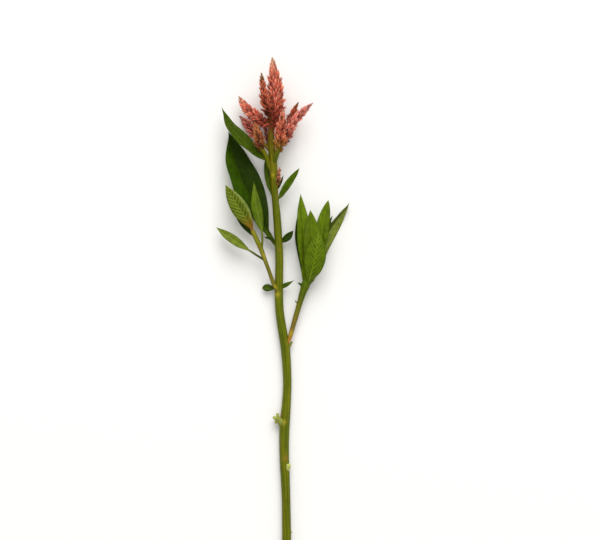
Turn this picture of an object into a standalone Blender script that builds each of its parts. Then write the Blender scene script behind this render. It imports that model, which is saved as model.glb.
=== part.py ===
"""One cut stem of wheat celosia, lying on a flat surface.

Metres, +Z up. +Y runs along the stem to the flower head, and the surface is the plane Z = 0.
The origin is on that surface, under the middle of the whole stem.
Hand-picked points are in millimetres, and MM turns them into metres.
"""

import math
import random

import bmesh
import bpy
from mathutils import Vector

MM = 0.001
OBJECT_NAME = "wheat_celosia"

# Gaps and thicknesses, in millimetres
SEAT_GAP = 0.3
BLADE_THICKNESS = 0.7
WELD_DISTANCE = 0.00001

# Colours, as linear red, green and blue
STEM_GREEN = (0.150, 0.170, 0.012)
SHOOT_GREEN = (0.170, 0.165, 0.015)
LEAF_DARK = (0.026, 0.060, 0.004)
LEAF_MID = (0.075, 0.125, 0.008)
LEAF_LIGHT = (0.150, 0.210, 0.025)
CORAL = (0.520, 0.125, 0.080)
OCHRE = (0.330, 0.110, 0.035)

# The main stem: x, y, z and radius at each point, from the cut end to the foot of the top spike
STEM_POINTS = [
    (3.8, -223.6, 4.3, 4.0),
    (3.6, -200.0, 4.2, 3.85),
    (3.2, -174.0, 4.2, 3.75),
    (2.4, -152.0, 4.2, 3.95),
    (1.9, -142.0, 4.2, 4.1),
    (1.5, -126.0, 4.1, 4.2),
    (1.7, -112.0, 4.05, 4.4),
    (2.3, -102.0, 4.1, 4.3),
    (3.7, -84.0, 4.2, 3.8),
    (4.3, -66.0, 4.3, 3.65),
    (2.8, -39.0, 4.7, 3.85),
    (0.2, -20.0, 5.2, 3.6),
    (-2.1, -3.0, 5.8, 3.4),
    (-3.2, 15.0, 6.6, 3.6),
    (-3.2, 30.0, 7.3, 3.2),
    (-3.1, 42.0, 7.9, 3.1),
    (-3.5, 56.0, 8.8, 3.35),
    (-5.3, 82.0, 10.4, 3.15),
    (-6.7, 99.0, 11.6, 2.95),
    (-7.7, 116.0, 12.9, 3.15),
    (-8.8, 131.0, 14.1, 3.5),
    (-9.7, 142.0, 15.0, 3.1),
    (-10.1, 158.0, 16.4, 2.7),
    (-9.2, 165.5, 17.2, 2.5),
    (-7.8, 171.0, 17.8, 2.3),
]
STEM_STATIONS = 34
STEM_RIDGES = 6
RIDGE_DEPTH = 0.07

# Short cut stubs of removed side shoots, and small buds: foot, end, radius
STUBS = [
    ((-0.2, -105.4, 5.4, 3.3), (-5.6, -99.8, 6.6, 2.8)),
    ((3.6, -148.4, 4.9, 2.2), (5.6, -142.2, 7.5, 2.1)),
    ((3.4, -40.5, 4.9, 1.9), (7.2, -36.2, 5.1, 1.0)),
    ((4.6, -205.4, 4.4, 2.0), (7.4, -202.2, 4.8, 1.2)),
]

# Each side shoot's stem: x, y, z and radius
LEFT_SHOOT_POINTS = [
    (-4.4, 13.1, 8.2, 1.9),
    (-8.6, 22.1, 9.6, 1.8),
    (-12.3, 32.5, 11.0, 1.7),
    (-16.3, 43.4, 12.2, 1.85),
    (-19.3, 51.5, 13.4, 1.95),
    (-23.2, 60.2, 14.8, 1.85),
    (-26.6, 67.6, 16.0, 1.6),
]
RIGHT_SHOOT_POINTS = [
    (3.8, -34.5, 5.0, 1.6),
    (6.9, -27.0, 5.3, 1.75),
    (9.2, -19.8, 5.6, 1.9),
    (12.5, -8.5, 6.2, 2.1),
    (15.9, 3.2, 7.0, 2.3),
    (19.1, 13.4, 7.8, 2.8),
    (21.3, 20.0, 8.6, 2.8),
    (22.6, 26.0, 9.6, 1.6),
]

SHOOT_STATIONS = 9

# Spikes of florets: the axis from the foot to the tip, the radius over the floret tips, the number
# of florets, and the first points of the flower stalk that carries the foot
SPIKES = {
    "spike_top": dict(
        axis=[(-7.65, 171.3, 17.9), (-6.4, 180.0, 18.4), (-6.0, 189.4, 19.0), (-6.9, 202.7, 19.6),
              (-9.1, 223.1, 20.4)],
        radius=8.6, florets=66, stalk=None, colour=CORAL,
    ),
    "spike_upper_left": dict(
        axis=[(-12.0, 171.4, 22.0), (-13.9, 179.5, 24.6), (-15.9, 190.2, 26.4), (-17.6, 199.6, 27.2),
              (-18.7, 208.8, 27.4)],
        radius=6.2, florets=42, stalk=[(-9.6, 158.6, 16.4), (-10.8, 166.0, 19.2)], colour=CORAL,
    ),
    "spike_left": dict(
        axis=[(-14.8, 165.0, 18.2), (-21.0, 168.2, 17.0), (-27.4, 174.6, 15.0), (-33.4, 181.4, 13.0),
              (-39.3, 188.7, 11.4)],
        radius=6.8, florets=44, stalk=[(-10.1, 154.6, 16.1), (-11.8, 161.6, 17.6)], colour=CORAL,
    ),
    "spike_lower_left": dict(
        axis=[(-22.0, 151.8, 7.4), (-28.4, 158.0, 5.1), (-33.4, 163.6, 4.5), (-38.8, 170.8, 4.6)],
        radius=6.4, florets=38, stalk=[(-9.6, 137.0, 14.6), (-16.8, 146.2, 11.0)], colour=CORAL,
    ),
    "spike_front_left": dict(
        axis=[(-19.7, 142.2, 20.8), (-21.3, 150.7, 24.6), (-23.2, 158.5, 28.4), (-25.0, 165.1, 31.0)],
        radius=6.2, florets=34, stalk=[(-9.2, 130.5, 14.0), (-15.4, 137.0, 17.6)], colour=OCHRE,
    ),
    "spike_front_right": dict(
        axis=[(-2.9, 142.7, 23.2), (-1.5, 155.9, 26.6), (-0.4, 166.6, 28.6), (1.0, 177.4, 30.0)],
        radius=6.4, florets=42, stalk=[(-8.0, 127.0, 13.8), (-5.2, 136.6, 19.6)], colour=CORAL,
    ),
    "spike_back_right": dict(
        axis=[(3.5, 149.5, 9.8), (6.7, 163.9, 7.8), (10.3, 175.6, 8.0), (14.0, 183.8, 8.6)],
        radius=5.4, florets=36, stalk=[(-9.7, 141.0, 14.8), (-2.6, 146.2, 11.6)], colour=CORAL,
    ),
    "spike_right": dict(
        axis=[(1.8, 145.8, 17.0), (8.6, 159.9, 18.6), (16.8, 171.8, 20.4), (27.1, 182.2, 22.0)],
        radius=5.6, florets=42, stalk=[(-9.0, 134.0, 14.4), (-2.6, 141.0, 16.2)], colour=CORAL,
    ),
    "spike_under_left": dict(
        axis=[(-13.0, 149.0, 9.2), (-14.6, 156.5, 7.8), (-16.2, 163.2, 6.6), (-17.9, 169.6, 5.8)],
        radius=5.0, florets=28, stalk=[(-9.8, 141.6, 14.8), (-12.0, 145.4, 11.4)], colour=CORAL,
    ),
    "spike_bud": dict(
        axis=[(-3.7, 110.8, 15.2), (-2.8, 117.5, 16.2), (-1.8, 125.0, 17.0)],
        radius=2.6, florets=14, stalk=[(-7.4, 102.5, 12.0), (-5.6, 106.8, 13.6)], colour=OCHRE,
    ),
}
STALK_RADIUS = {"spike_front_right": 2.3, "spike_bud": 1.0}
USUAL_STALK_RADIUS = 1.5
STALK_STATIONS = 6

# The core and the outline of a spike: shares of its radius, and where along it the outline is widest
CORE_SHARE = 0.5
CORE_STATIONS = 8
LEAST_CORE_RADIUS = 0.35
SHOULDER = 0.25
FOOT_NARROWING = 0.1
TIP_TAPER = 0.75
LEAST_OUTLINE = 0.1

# The florets: a spiral from the first to the last share of the spike, closer together towards the tip
GOLDEN_ANGLE = math.radians(137.508)
FIRST_FLORET, LAST_FLORET, CROWDING = 0.01, 0.96, 0.8
SPREAD_AT_FOOT, SPREAD_AT_TIP = math.radians(56), math.radians(14)
SPREAD_EASE = 0.7
SPREAD_VARIES = (0.92, 1.08)
REACH_VARIES = (0.92, 1.0)
REACH_TRIES = 4
LEAST_FLORET = 2.4
ROOT_SHARE = 0.5
FLORET_LEAST_WIDTH = 1.7
FLORET_WIDTH_BY_LENGTH = 0.25
FLORET_BELLY = 0.2
FLORET_FLATNESS = 0.6
SHORTENED = (1.0, 0.85, 0.7, 0.55)
CLEAR_OF_NEIGHBOURS = 0.34
CLEAR_OF_STEM = 1.6
NEAREST_STEPS = 24

# Leaves: points of the midrib from the stem to the tip, the width, the length of stalk as a share
# of the whole, where the blade is widest, the fold of each half and the roll of the blade in degrees,
# and the height of the margin's waves
LEAVES = {
    "leaf_upper_left": dict(
        on="main_stem", colour=LEAF_DARK, width=13.0, stalk=0.08, belly=0.44, fold=22, roll=(-24, -24),
        wave=0.5,
        midrib=[(-9.4, 128.7, 13.6), (-15.8, 131.5, 16.0), (-23.6, 138.0, 17.6), (-31.8, 145.4, 18.0),
                (-39.8, 153.0, 17.4), (-46.6, 161.0, 15.6), (-51.0, 169.9, 13.4), (-54.6, 179.0, 11.4)],
    ),
    "leaf_big_left": dict(
        on="main_stem", colour=LEAF_DARK, width=32.0, stalk=0.11, belly=0.53, fold=24, roll=(-18, -34),
        wave=1.0,
        midrib=[(-4.1, 51.7, 8.6), (-9.3, 58.9, 8.0), (-16.5, 71.5, 7.2), (-22.5, 84.5, 6.6),
                (-28.7, 97.5, 6.2), (-35.5, 111.0, 6.0), (-41.1, 124.9, 5.8), (-45.3, 140.2, 5.4),
                (-48.4, 157.3, 4.6)],
    ),
    "leaf_right": dict(
        on="main_stem", colour=LEAF_DARK, width=8.4, stalk=0.08, belly=0.46, fold=40, roll=(10, 6),
        midrib=[(-5.9, 93.8, 11.4), (-1.4, 99.6, 13.6), (4.8, 109.0, 14.8), (10.0, 116.6, 14.6),
                (15.3, 124.4, 13.4)],
    ),
    "leaf_under_stem": dict(
        on="main_stem", colour=LEAF_DARK, width=5.4, stalk=0.12, belly=0.52, fold=14, roll=(16, 8),
        midrib=[(-7.7, 95.6, 11.0), (-11.3, 105.1, 9.4), (-13.2, 115.4, 8.4), (-14.5, 124.9, 7.8),
                (-15.4, 134.3, 7.2)],
    ),
    "leaf_dark_right": dict(
        on="main_stem", colour=LEAF_DARK, width=6.6, stalk=0.10, belly=0.50, fold=16, roll=(8, -8),
        midrib=[(-3.7, 56.6, 8.8), (0.9, 59.3, 9.8), (5.6, 63.4, 9.4), (9.7, 68.2, 8.4)],
    ),
    "bract_left": dict(
        on="main_stem", colour=LEAF_DARK, width=2.8, stalk=0.20, belly=0.55, fold=30, roll=(0, 30),
        midrib=[(-4.1, 59.8, 9.2), (-8.6, 60.1, 11.0), (-12.5, 61.7, 11.6), (-16.4, 62.1, 11.2)],
    ),
    "leaf_node_left": dict(
        on="main_stem", colour=LEAF_MID, width=6.8, stalk=0.18, belly=0.62, fold=10, roll=(0, 0),
        midrib=[(-3.2, 14.9, 5.4), (-8.6, 16.3, 5.2), (-13.5, 16.9, 5.0), (-18.5, 16.5, 4.6)],
    ),
    "leaf_node_right": dict(
        on="main_stem", colour=LEAF_MID, width=4.8, stalk=0.12, belly=0.28, fold=34, roll=(0, 30),
        midrib=[(-3.2, 17.0, 7.2), (2.0, 18.7, 8.2), (6.3, 21.0, 9.4), (10.8, 23.9, 10.4)],
    ),
    "bract_bud": dict(
        on="main_stem", colour=LEAF_DARK, width=3.2, stalk=0.15, belly=0.50, fold=34, roll=(40, 40),
        midrib=[(-6.8, 101.5, 11.8), (-3.1, 107.7, 11.4), (-0.9, 112.6, 12.0), (0.7, 117.8, 12.8)],
    ),
    "leaf_shoot_low": dict(
        on="left_shoot", colour=LEAF_MID, width=8.6, stalk=0.28, belly=0.50, fold=14, roll=(-24, -10),
        wave=0.3,
        midrib=[(-16.1, 41.5, 12.0), (-23.8, 46.5, 13.4), (-31.4, 51.4, 14.2), (-39.4, 56.6, 14.2),
                (-48.0, 62.6, 12.8), (-54.1, 67.0, 11.0), (-59.4, 71.2, 9.2)],
    ),
    "leaf_shoot_veined": dict(
        on="left_shoot", colour=LEAF_LIGHT, width=15.6, stalk=0.06, belly=0.49, fold=16, roll=(8, -6),
        wave=0.4,
        midrib=[(-25.2, 65.6, 15.8), (-30.0, 74.9, 18.4), (-36.0, 84.4, 20.2), (-42.1, 93.8, 21.0),
                (-47.3, 102.2, 20.4), (-51.1, 109.2, 19.0)],
    ),
    "leaf_shoot_back": dict(
        on="left_shoot", colour=LEAF_DARK, width=5.4, stalk=0.15, belly=0.50, fold=20, roll=(-20, -20),
        midrib=[(-23.0, 59.8, 14.0), (-28.8, 66.0, 12.2), (-35.4, 73.4, 11.2), (-41.9, 80.6, 10.6)],
    ),
    "leaf_shoot_inner": dict(
        on="left_shoot", colour=LEAF_LIGHT, width=10.0, stalk=0.26, belly=0.44, fold=-16, roll=(0, 6),
        wave=0.3,
        midrib=[(-18.6, 50.4, 13.2), (-18.1, 58.8, 15.0), (-18.3, 66.9, 16.8), (-20.5, 75.8, 18.6),
                (-23.1, 87.4, 20.4), (-24.6, 99.0, 21.4), (-25.5, 111.7, 21.2)],
    ),
    "leaf_whorl_left": dict(
        on="right_shoot", colour=LEAF_MID, width=12.6, stalk=0.06, belly=0.52, fold=12, roll=(-22, -12),
        wave=0.3,
        midrib=[(21.4, 20.3, 9.2), (19.6, 27.0, 11.0), (19.0, 35.0, 12.2), (18.6, 50.8, 13.2),
                (18.6, 65.1, 13.6), (18.0, 76.8, 13.4), (16.9, 88.4, 12.8), (16.2, 101.2, 11.8)],
    ),
    "leaf_whorl_left_back": dict(
        on="right_shoot", colour=LEAF_DARK, width=7.4, stalk=0.08, belly=0.52, fold=14, roll=(-24, -16),
        midrib=[(21.0, 18.5, 8.0), (18.4, 25.0, 6.8), (17.6, 34.0, 6.0), (16.4, 47.2, 5.6),
                (15.2, 61.6, 5.2), (14.7, 74.2, 5.2), (15.3, 86.7, 5.6)],
    ),
    "leaf_whorl_middle": dict(
        on="right_shoot", colour=LEAF_MID, width=14.8, stalk=0.06, belly=0.50, fold=12, roll=(6, 0),
        wave=0.4,
        midrib=[(22.0, 22.4, 9.6), (23.4, 29.5, 13.2), (25.4, 40.0, 16.0), (26.2, 51.6, 17.6),
                (26.3, 63.2, 18.2), (25.9, 74.9, 18.4), (24.9, 86.5, 18.0)],
    ),
    "leaf_whorl_front": dict(
        on="right_shoot", colour=LEAF_LIGHT, width=20.0, stalk=0.05, belly=0.56, fold=-20, roll=(4, 0),
        wave=0.4,
        midrib=[(22.4, 19.6, 11.0), (24.6, 26.4, 17.0), (27.4, 35.8, 21.8), (29.2, 45.6, 24.2),
                (30.6, 54.6, 24.6), (31.8, 62.4, 23.0), (32.4, 67.0, 21.0)],
    ),
    "leaf_whorl_right": dict(
        on="right_shoot", colour=LEAF_MID, width=11.4, stalk=0.08, belly=0.62, fold=14, roll=(8, 0),
        wave=0.3,
        midrib=[(23.3, 21.0, 8.8), (27.2, 28.6, 11.8), (30.0, 37.6, 13.8), (32.6, 48.1, 15.6),
                (35.3, 61.5, 16.4), (36.9, 74.0, 16.4), (38.7, 84.8, 15.8), (41.0, 95.2, 15.0)],
    ),
    "leaf_whorl_back": dict(
        on="right_shoot", colour=LEAF_DARK, width=4.8, stalk=0.12, belly=0.55, fold=12, roll=(10, 0),
        midrib=[(22.3, 23.4, 8.0), (25.0, 28.2, 8.0), (28.6, 35.2, 9.6), (33.0, 49.0, 12.0),
                (37.8, 64.0, 12.6), (41.2, 73.6, 12.6), (44.8, 81.7, 12.2)],
    ),
    "leaf_whorl_outer": dict(
        on="right_shoot", colour=LEAF_MID, width=21.0, stalk=0.07, belly=0.52, fold=68, roll=(64, 64),
        wave=0.0,
        midrib=[(22.0, 18.0, 8.2), (26.4, 22.6, 6.8), (30.0, 28.2, 5.4), (35.0, 38.2, 3.2),
                (41.2, 51.7, 1.2), (47.9, 64.3, 0.2), (53.4, 75.1, 0.4), (57.3, 85.5, 2.4),
                (59.7, 92.9, 4.6)],
    ),
    "bract_whorl": dict(
        on="right_shoot", colour=LEAF_DARK, width=2.2, stalk=0.25, belly=0.50, fold=20, roll=(0, 20),
        midrib=[(20.2, 15.4, 9.0), (17.6, 18.7, 10.4), (15.2, 20.6, 10.8), (13.2, 21.2, 10.4)],
    ),
}

# The blade's section: the inward curl of its margins in degrees, the sharpest fold for each
# millimetre of half width, and the waves along each margin, out of step with each other
SHARPNESS = 2.2
CURL = 8
FOLD_PER_MM = 12
LEAST_FOLD_WIDTH = 2.0
WAVES = 3.5
WAVE_SHIFT = 1.8
LEAST_HALF_WIDTH = 0.4
BLADE_END = 0.995

# The midrib: its radius at the foot, the share of it lost at the tip, and how far it shows
RIB_RADIUS = 0.9
RIB_TAPER = 0.6
RIB_REACH = 1.5
RIB_ABOVE = 0.5

# How finely a leaf is divided: the narrowest width, the stations and the columns of points
LEAF_GRIDS = [(15.0, 16, 5), (8.0, 12, 5), (0.0, 7, 3)]


def clear_scene():
    for old in list(bpy.data.objects):
        bpy.data.objects.remove(old)


def new_collection(name):
    made = bpy.data.collections.new(name)
    bpy.context.scene.collection.children.link(made)
    return made


def new_material(name, colour, roughness):
    """A plain Principled finish."""
    made = bpy.data.materials.new(name)
    made.use_nodes = True
    surface = made.node_tree.nodes["Principled BSDF"]
    surface.inputs["Base Color"].default_value = (*colour, 1.0)
    surface.inputs["Roughness"].default_value = roughness
    surface.inputs["Metallic"].default_value = 0.0
    return made


def evaluated_mesh(thing):
    """The mesh of a curve, or of a mesh with modifiers, as it stands now."""
    graph = bpy.context.evaluated_depsgraph_get()
    return bpy.data.meshes.new_from_object(thing.evaluated_get(graph))


class Path:
    """A smooth curve through points of three or four numbers, by distance along it."""

    def __init__(self, points):
        self.points = [Vector(p) for p in points]
        self.stations = [0.0]
        for a, b in zip(self.points, self.points[1:]):
            self.stations.append(self.stations[-1] + (b.xyz - a.xyz).length)
        self.length = self.stations[-1]

    def slope(self, i):
        """The tangent at point i, per millimetre."""
        before, after = max(i - 1, 0), min(i + 1, len(self.points) - 1)
        return (self.points[after] - self.points[before]) / (self.stations[after] - self.stations[before])

    def at(self, share):
        """The point at this share of the length, by a cubic between its two neighbours."""
        where = min(max(share, 0.0), 1.0) * self.length
        i = 0
        while i < len(self.points) - 2 and where > self.stations[i + 1]:
            i += 1
        span = self.stations[i + 1] - self.stations[i]
        u = (where - self.stations[i]) / span
        rise = u * u * (3 - 2 * u)
        leave = u * (1 - u) ** 2 * span
        arrive = u * u * (1 - u) * span
        return (
            self.points[i] * (1 - rise)
            + self.points[i + 1] * rise
            + self.slope(i) * leave
            - self.slope(i + 1) * arrive
        )

    def direction(self, share):
        step = 0.01
        low, high = max(share - step, 0.0), min(share + step, 1.0)
        return (self.at(high).xyz - self.at(low).xyz).normalized()


def ridged_outline(name, ridges, depth):
    """A closed outline of radius 1 with low ridges round it, for a stem's section."""
    curve = bpy.data.curves.new(name, "CURVE")
    curve.dimensions = "2D"
    corners = 2 * ridges
    line = curve.splines.new("POLY")
    line.points.add(corners - 1)
    for k, point in enumerate(line.points):
        angle = 2 * math.pi * (k + 0.5) / corners
        radius = 1.0 if k % 2 else 1.0 - depth
        point.co = (radius * math.cos(angle) * MM, radius * math.sin(angle) * MM, 0, 1)
    line.use_cyclic_u = True
    made = bpy.data.objects.new(name, curve)
    made.hide_render = True
    made.display_type = "WIRE"
    return made


def tube(name, points, stations, outline=None, extra=0.0, sides=6):
    """A tapering tube along points of x, y, z and radius, as a closed mesh object."""
    path = Path(points)
    curve = bpy.data.curves.new(name, "CURVE")
    curve.dimensions = "3D"
    curve.twist_mode = "Z_UP"
    curve.use_fill_caps = True
    if outline is None:
        curve.bevel_depth = MM
        curve.bevel_resolution = (sides - 4) // 2
    else:
        curve.bevel_mode = "OBJECT"
        curve.bevel_object = outline
    line = curve.splines.new("POLY")
    line.points.add(stations - 1)
    for k, point in enumerate(line.points):
        x, y, z, radius = path.at(k / (stations - 1))
        point.co = (x * MM, y * MM, z * MM, 1)
        point.radius = radius + extra
    drawn = bpy.data.objects.new(name + "_line", curve)
    bpy.context.scene.collection.objects.link(drawn)
    mesh = evaluated_mesh(drawn)
    bpy.data.objects.remove(drawn)
    welded = bmesh.new()
    welded.from_mesh(mesh)
    bmesh.ops.remove_doubles(welded, verts=welded.verts, dist=WELD_DISTANCE)
    bmesh.ops.recalc_face_normals(welded, faces=welded.faces)
    welded.to_mesh(mesh)
    welded.free()
    return bpy.data.objects.new(name, mesh)


def keep_outer_skin(mesh):
    """Drops the closed pockets that a Boolean leaves inside a mesh, and any loose scrap."""
    shape = bmesh.new()
    shape.from_mesh(mesh)
    bmesh.ops.triangulate(shape, faces=shape.faces)
    left = set(shape.faces)
    skins = []
    while left:
        skin, rim = set(), [left.pop()]
        while rim:
            face = rim.pop()
            skin.add(face)
            simple_edges = (edge for edge in face.edges if len(edge.link_faces) == 2)
            for beside in (other for edge in simple_edges for other in edge.link_faces):
                if beside in left:
                    left.remove(beside)
                    rim.append(beside)
        skins.append(skin)
    outer = max(skins, key=len)
    inner = [face for skin in skins if skin is not outer for face in skin]
    bmesh.ops.delete(shape, geom=inner, context="FACES")
    shape.to_mesh(mesh)
    shape.free()


def fuse(base, pieces):
    """Joins the pieces to the base in one Boolean union, and removes them."""
    group = new_collection(base.name + "_pieces")
    for piece in pieces:
        group.objects.link(piece)
    union = base.modifiers.new("union", "BOOLEAN")
    union.operation = "UNION"
    union.solver = "EXACT"
    union.operand_type = "COLLECTION"
    union.collection = group
    mesh = evaluated_mesh(base)
    base.modifiers.clear()
    base.data = mesh
    keep_outer_skin(mesh)
    for piece in list(group.objects):
        bpy.data.objects.remove(piece)
    bpy.data.collections.remove(group)


def cut(thing, cutter):
    """Takes the cutter's space out of the thing."""
    difference = thing.modifiers.new("seat", "BOOLEAN")
    difference.operation = "DIFFERENCE"
    difference.solver = "EXACT"
    difference.object = cutter
    mesh = evaluated_mesh(thing)
    thing.modifiers.clear()
    thing.data = mesh
    keep_outer_skin(mesh)


def new_cutter(thing, cutters):
    """Marks an object as one that only cuts others."""
    thing.hide_render = True
    thing.display_type = "WIRE"
    cutters.objects.link(thing)
    return thing


# The stem and its side shoots


def stem_cutter(cutters, name, points, stations, outline):
    """The stem's own shape, larger by the gap that its leaves keep to it."""
    return new_cutter(tube(name, points, stations, outline, extra=SEAT_GAP), cutters)


def build_main_stem(parts, outline, surface):
    """The ridged stem with its cut stubs and the stalks of the spikes, flattened where it rests."""
    stem = tube("main_stem", STEM_POINTS, STEM_STATIONS, outline)
    parts.objects.link(stem)
    grown = [tube(f"stub_{k}", ends, 2) for k, ends in enumerate(STUBS)]
    for name, spike in SPIKES.items():
        if spike["stalk"]:
            grown.append(tube(name + "_stalk", stalk_points(name), STALK_STATIONS))
    fuse(stem, grown)
    cut(stem, surface)
    return stem


def stalk_points(name):
    """The flower stalk, from inside the stem to just short of the spike's foot."""
    spike = SPIKES[name]
    if spike["stalk"] is None:
        return STEM_POINTS[-3:]
    foot, onward = Vector(spike["axis"][0]), Vector(spike["axis"][1])
    end = foot - (onward - foot).normalized() * SEAT_GAP
    radius = STALK_RADIUS.get(name, USUAL_STALK_RADIUS)
    return [(*point, radius) for point in (*spike["stalk"], end)]


def surface_block(cutters):
    """The surface that the stem lies on, as a block whose top is Z = 0."""
    width, length, depth = 0.2, 0.6, 0.02
    mesh = bpy.data.meshes.new("surface")
    block = bmesh.new()
    bmesh.ops.create_cube(block, size=1.0)
    bmesh.ops.scale(block, verts=block.verts, vec=(width, length, depth))
    bmesh.ops.translate(block, verts=block.verts, vec=(0, 0, -depth / 2))
    block.to_mesh(mesh)
    block.free()
    return new_cutter(bpy.data.objects.new("surface", mesh), cutters)


# The spikes


def envelope(share):
    """The radius over the floret tips at this share of the spike, as a share of the largest."""
    if share > SHOULDER:
        return max((1 - share) / (1 - SHOULDER), 0.0) ** TIP_TAPER
    return 1 - FOOT_NARROWING * (1 - share / SHOULDER) ** 2


def nearest(path, point):
    """The distance from a point to a path, and the share of the path where it is nearest."""
    shares = [k / NEAREST_STEPS for k in range(NEAREST_STEPS + 1)]
    return min(((path.at(share).xyz - point).length, share) for share in shares)


def room_for(tip, own_name, own_share_of_radius, paths, stem_path):
    """Whether a floret tip stays on its own spike's side of its neighbours, and off the stem."""
    for name, path in paths.items():
        if name == own_name:
            continue
        gap, share = nearest(path, tip)
        radius = SPIKES[name]["radius"] * max(envelope(share), LEAST_OUTLINE)
        if gap / radius < own_share_of_radius + CLEAR_OF_NEIGHBOURS:
            return False
    gap, share = nearest(stem_path, tip)
    return gap > stem_path.at(share)[3] + CLEAR_OF_STEM


def floret(name, root, tip, outward, width):
    """A pointed floret, widest below its middle, as a stretched four-sided double cone."""
    along = (tip - root).normalized()
    side = along.cross(outward).normalized()
    face = side.cross(along)
    mesh = bpy.data.meshes.new(name)
    shape = bmesh.new()
    bmesh.ops.create_uvsphere(shape, u_segments=4, v_segments=2, radius=1.0)
    for v in shape.verts:
        reach = {-1: 0.0, 0: FLORET_BELLY, 1: 1.0}[round(v.co.z)]
        place = root + (tip - root) * reach
        place += (side * v.co.x + face * v.co.y * FLORET_FLATNESS) * width / 2
        place.z = max(place.z, 0.0)
        v.co = place * MM
    bmesh.ops.recalc_face_normals(shape, faces=shape.faces)
    shape.to_mesh(mesh)
    shape.free()
    return bpy.data.objects.new(name, mesh)


def spike_florets(name, path, paths, stem_path):
    """The florets of one spike, on a spiral, smaller and closer towards the tip."""
    spike = SPIKES[name]
    draw = random.Random(name)
    made = []
    for k in range(spike["florets"]):
        grown = 1 - (1 - k / spike["florets"]) ** CROWDING
        share = FIRST_FLORET + (LAST_FLORET - FIRST_FLORET) * grown
        centre, along = path.at(share).xyz, path.direction(share)
        flat = along.orthogonal().normalized()
        angle = k * GOLDEN_ANGLE
        outward = flat * math.cos(angle) + along.cross(flat) * math.sin(angle)
        spread = SPREAD_AT_FOOT + (SPREAD_AT_TIP - SPREAD_AT_FOOT) * share**SPREAD_EASE
        spread *= draw.uniform(*SPREAD_VARIES)
        reach = spike["radius"] * draw.uniform(*REACH_VARIES)
        core = CORE_SHARE * spike["radius"] * envelope(share)
        root = centre + outward * core * ROOT_SHARE
        leaning = along * math.cos(spread) + outward * math.sin(spread)
        full = spike["radius"]
        for _ in range(REACH_TRIES):
            ends_at = min(share + full * math.cos(spread) / path.length, 1.0)
            fits = (reach * envelope(ends_at) - core * ROOT_SHARE) / math.sin(spread)
            full = max((full + fits) / 2, LEAST_FLORET)
        width = FLORET_LEAST_WIDTH + FLORET_WIDTH_BY_LENGTH * full
        for kept in SHORTENED:
            tip = root + leaning * full * kept
            gap, beside = nearest(path, tip)
            own_share = gap / (spike["radius"] * max(envelope(beside), LEAST_OUTLINE))
            if room_for(tip, name, own_share, paths, stem_path):
                made.append(floret(f"{name}_floret_{k}", root, tip, outward, width))
                break
    return made


def build_spike(parts, cutters, name, paths, stem_path):
    """One spike: a slim core and the florets that cover it, as one body, clear of its stalk."""
    path = paths[name]
    radius = SPIKES[name]["radius"] * CORE_SHARE
    shares = [k / (CORE_STATIONS - 1) for k in range(CORE_STATIONS)]
    points = [(*path.at(share), max(radius * envelope(share), LEAST_CORE_RADIUS)) for share in shares]
    made = tube(name, points, CORE_STATIONS)
    parts.objects.link(made)
    fuse(made, spike_florets(name, path, paths, stem_path))
    stalk = stalk_points(name)
    end, onward = Vector(stalk[-1]), path.direction(0)
    stalk[-1] = (*(end.xyz + onward * SEAT_GAP), stalk[-1][3])
    cut(made, new_cutter(tube(name + "_seat", stalk, STALK_STATIONS, extra=SEAT_GAP), cutters))
    return made


# The leaves


def leaf_width(share, belly):
    """The blade's width at this share of its length, as a share of the largest width."""
    rise, fall = SHARPNESS * belly, SHARPNESS * (1 - belly)
    peak = belly**rise * (1 - belly) ** fall
    return share**rise * (1 - share) ** fall / peak


def leaf_section(leaf, path, share, columns):
    """The upper and lower points of the leaf's section at this share of its length."""
    blade = max((share - leaf["stalk"]) / (1 - leaf["stalk"]), 0.0)
    half = leaf["width"] / 2 * leaf_width(min(blade, BLADE_END), leaf["belly"])
    rib = RIB_RADIUS * (1 - RIB_TAPER * share)
    half = max(half, rib if share < leaf["belly"] else LEAST_HALF_WIDTH)
    along = path.direction(share)
    side = along.cross(Vector((0, 0, 1))).normalized()
    face = side.cross(along)
    roll = math.radians(leaf["roll"][0] + (leaf["roll"][1] - leaf["roll"][0]) * share)
    side, face = side * math.cos(roll) + face * math.sin(roll), face * math.cos(roll) - side * math.sin(roll)
    breadth = min(half / max(abs(leaf["fold"]) / FOLD_PER_MM, LEAST_FOLD_WIDTH), 1.0)
    steps = columns // 2
    centre = path.at(share).xyz
    points = [(centre, face, 0.0)]
    for sign in (-1, 1):
        place = centre.copy()
        row = []
        for k in range(steps):
            middle = (k + 0.5) / steps
            fold = math.radians(leaf["fold"] * breadth + math.copysign(CURL, leaf["fold"]) * (1 - 2 * middle))
            place = place + (side * sign * math.cos(fold) + face * math.sin(fold)) * half / steps
            normal = face * math.cos(fold) - side * sign * math.sin(fold)
            out = (k + 1) / steps
            phase = 2 * math.pi * WAVES * share + (WAVE_SHIFT if sign > 0 else 0.0)
            sway = math.sin(phase) * out * out * breadth
            row.append((place + normal * leaf.get("wave", 0.0) * sway, normal, out * half))
        points = row[::-1] + points if sign < 0 else points + row
    upper, lower = [], []
    for place, normal, out in points:
        swell = max(1 - out / RIB_REACH, 0.0)
        thin = BLADE_THICKNESS / 2
        thick = thin + max(rib - thin, 0.0) * swell
        upper.append(place + normal * min(thick, thin + RIB_ABOVE * rib * swell))
        lower.append(place - normal * thick)
    for point in lower:
        point.z = max(point.z, 0.0)
    return upper, lower


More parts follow.
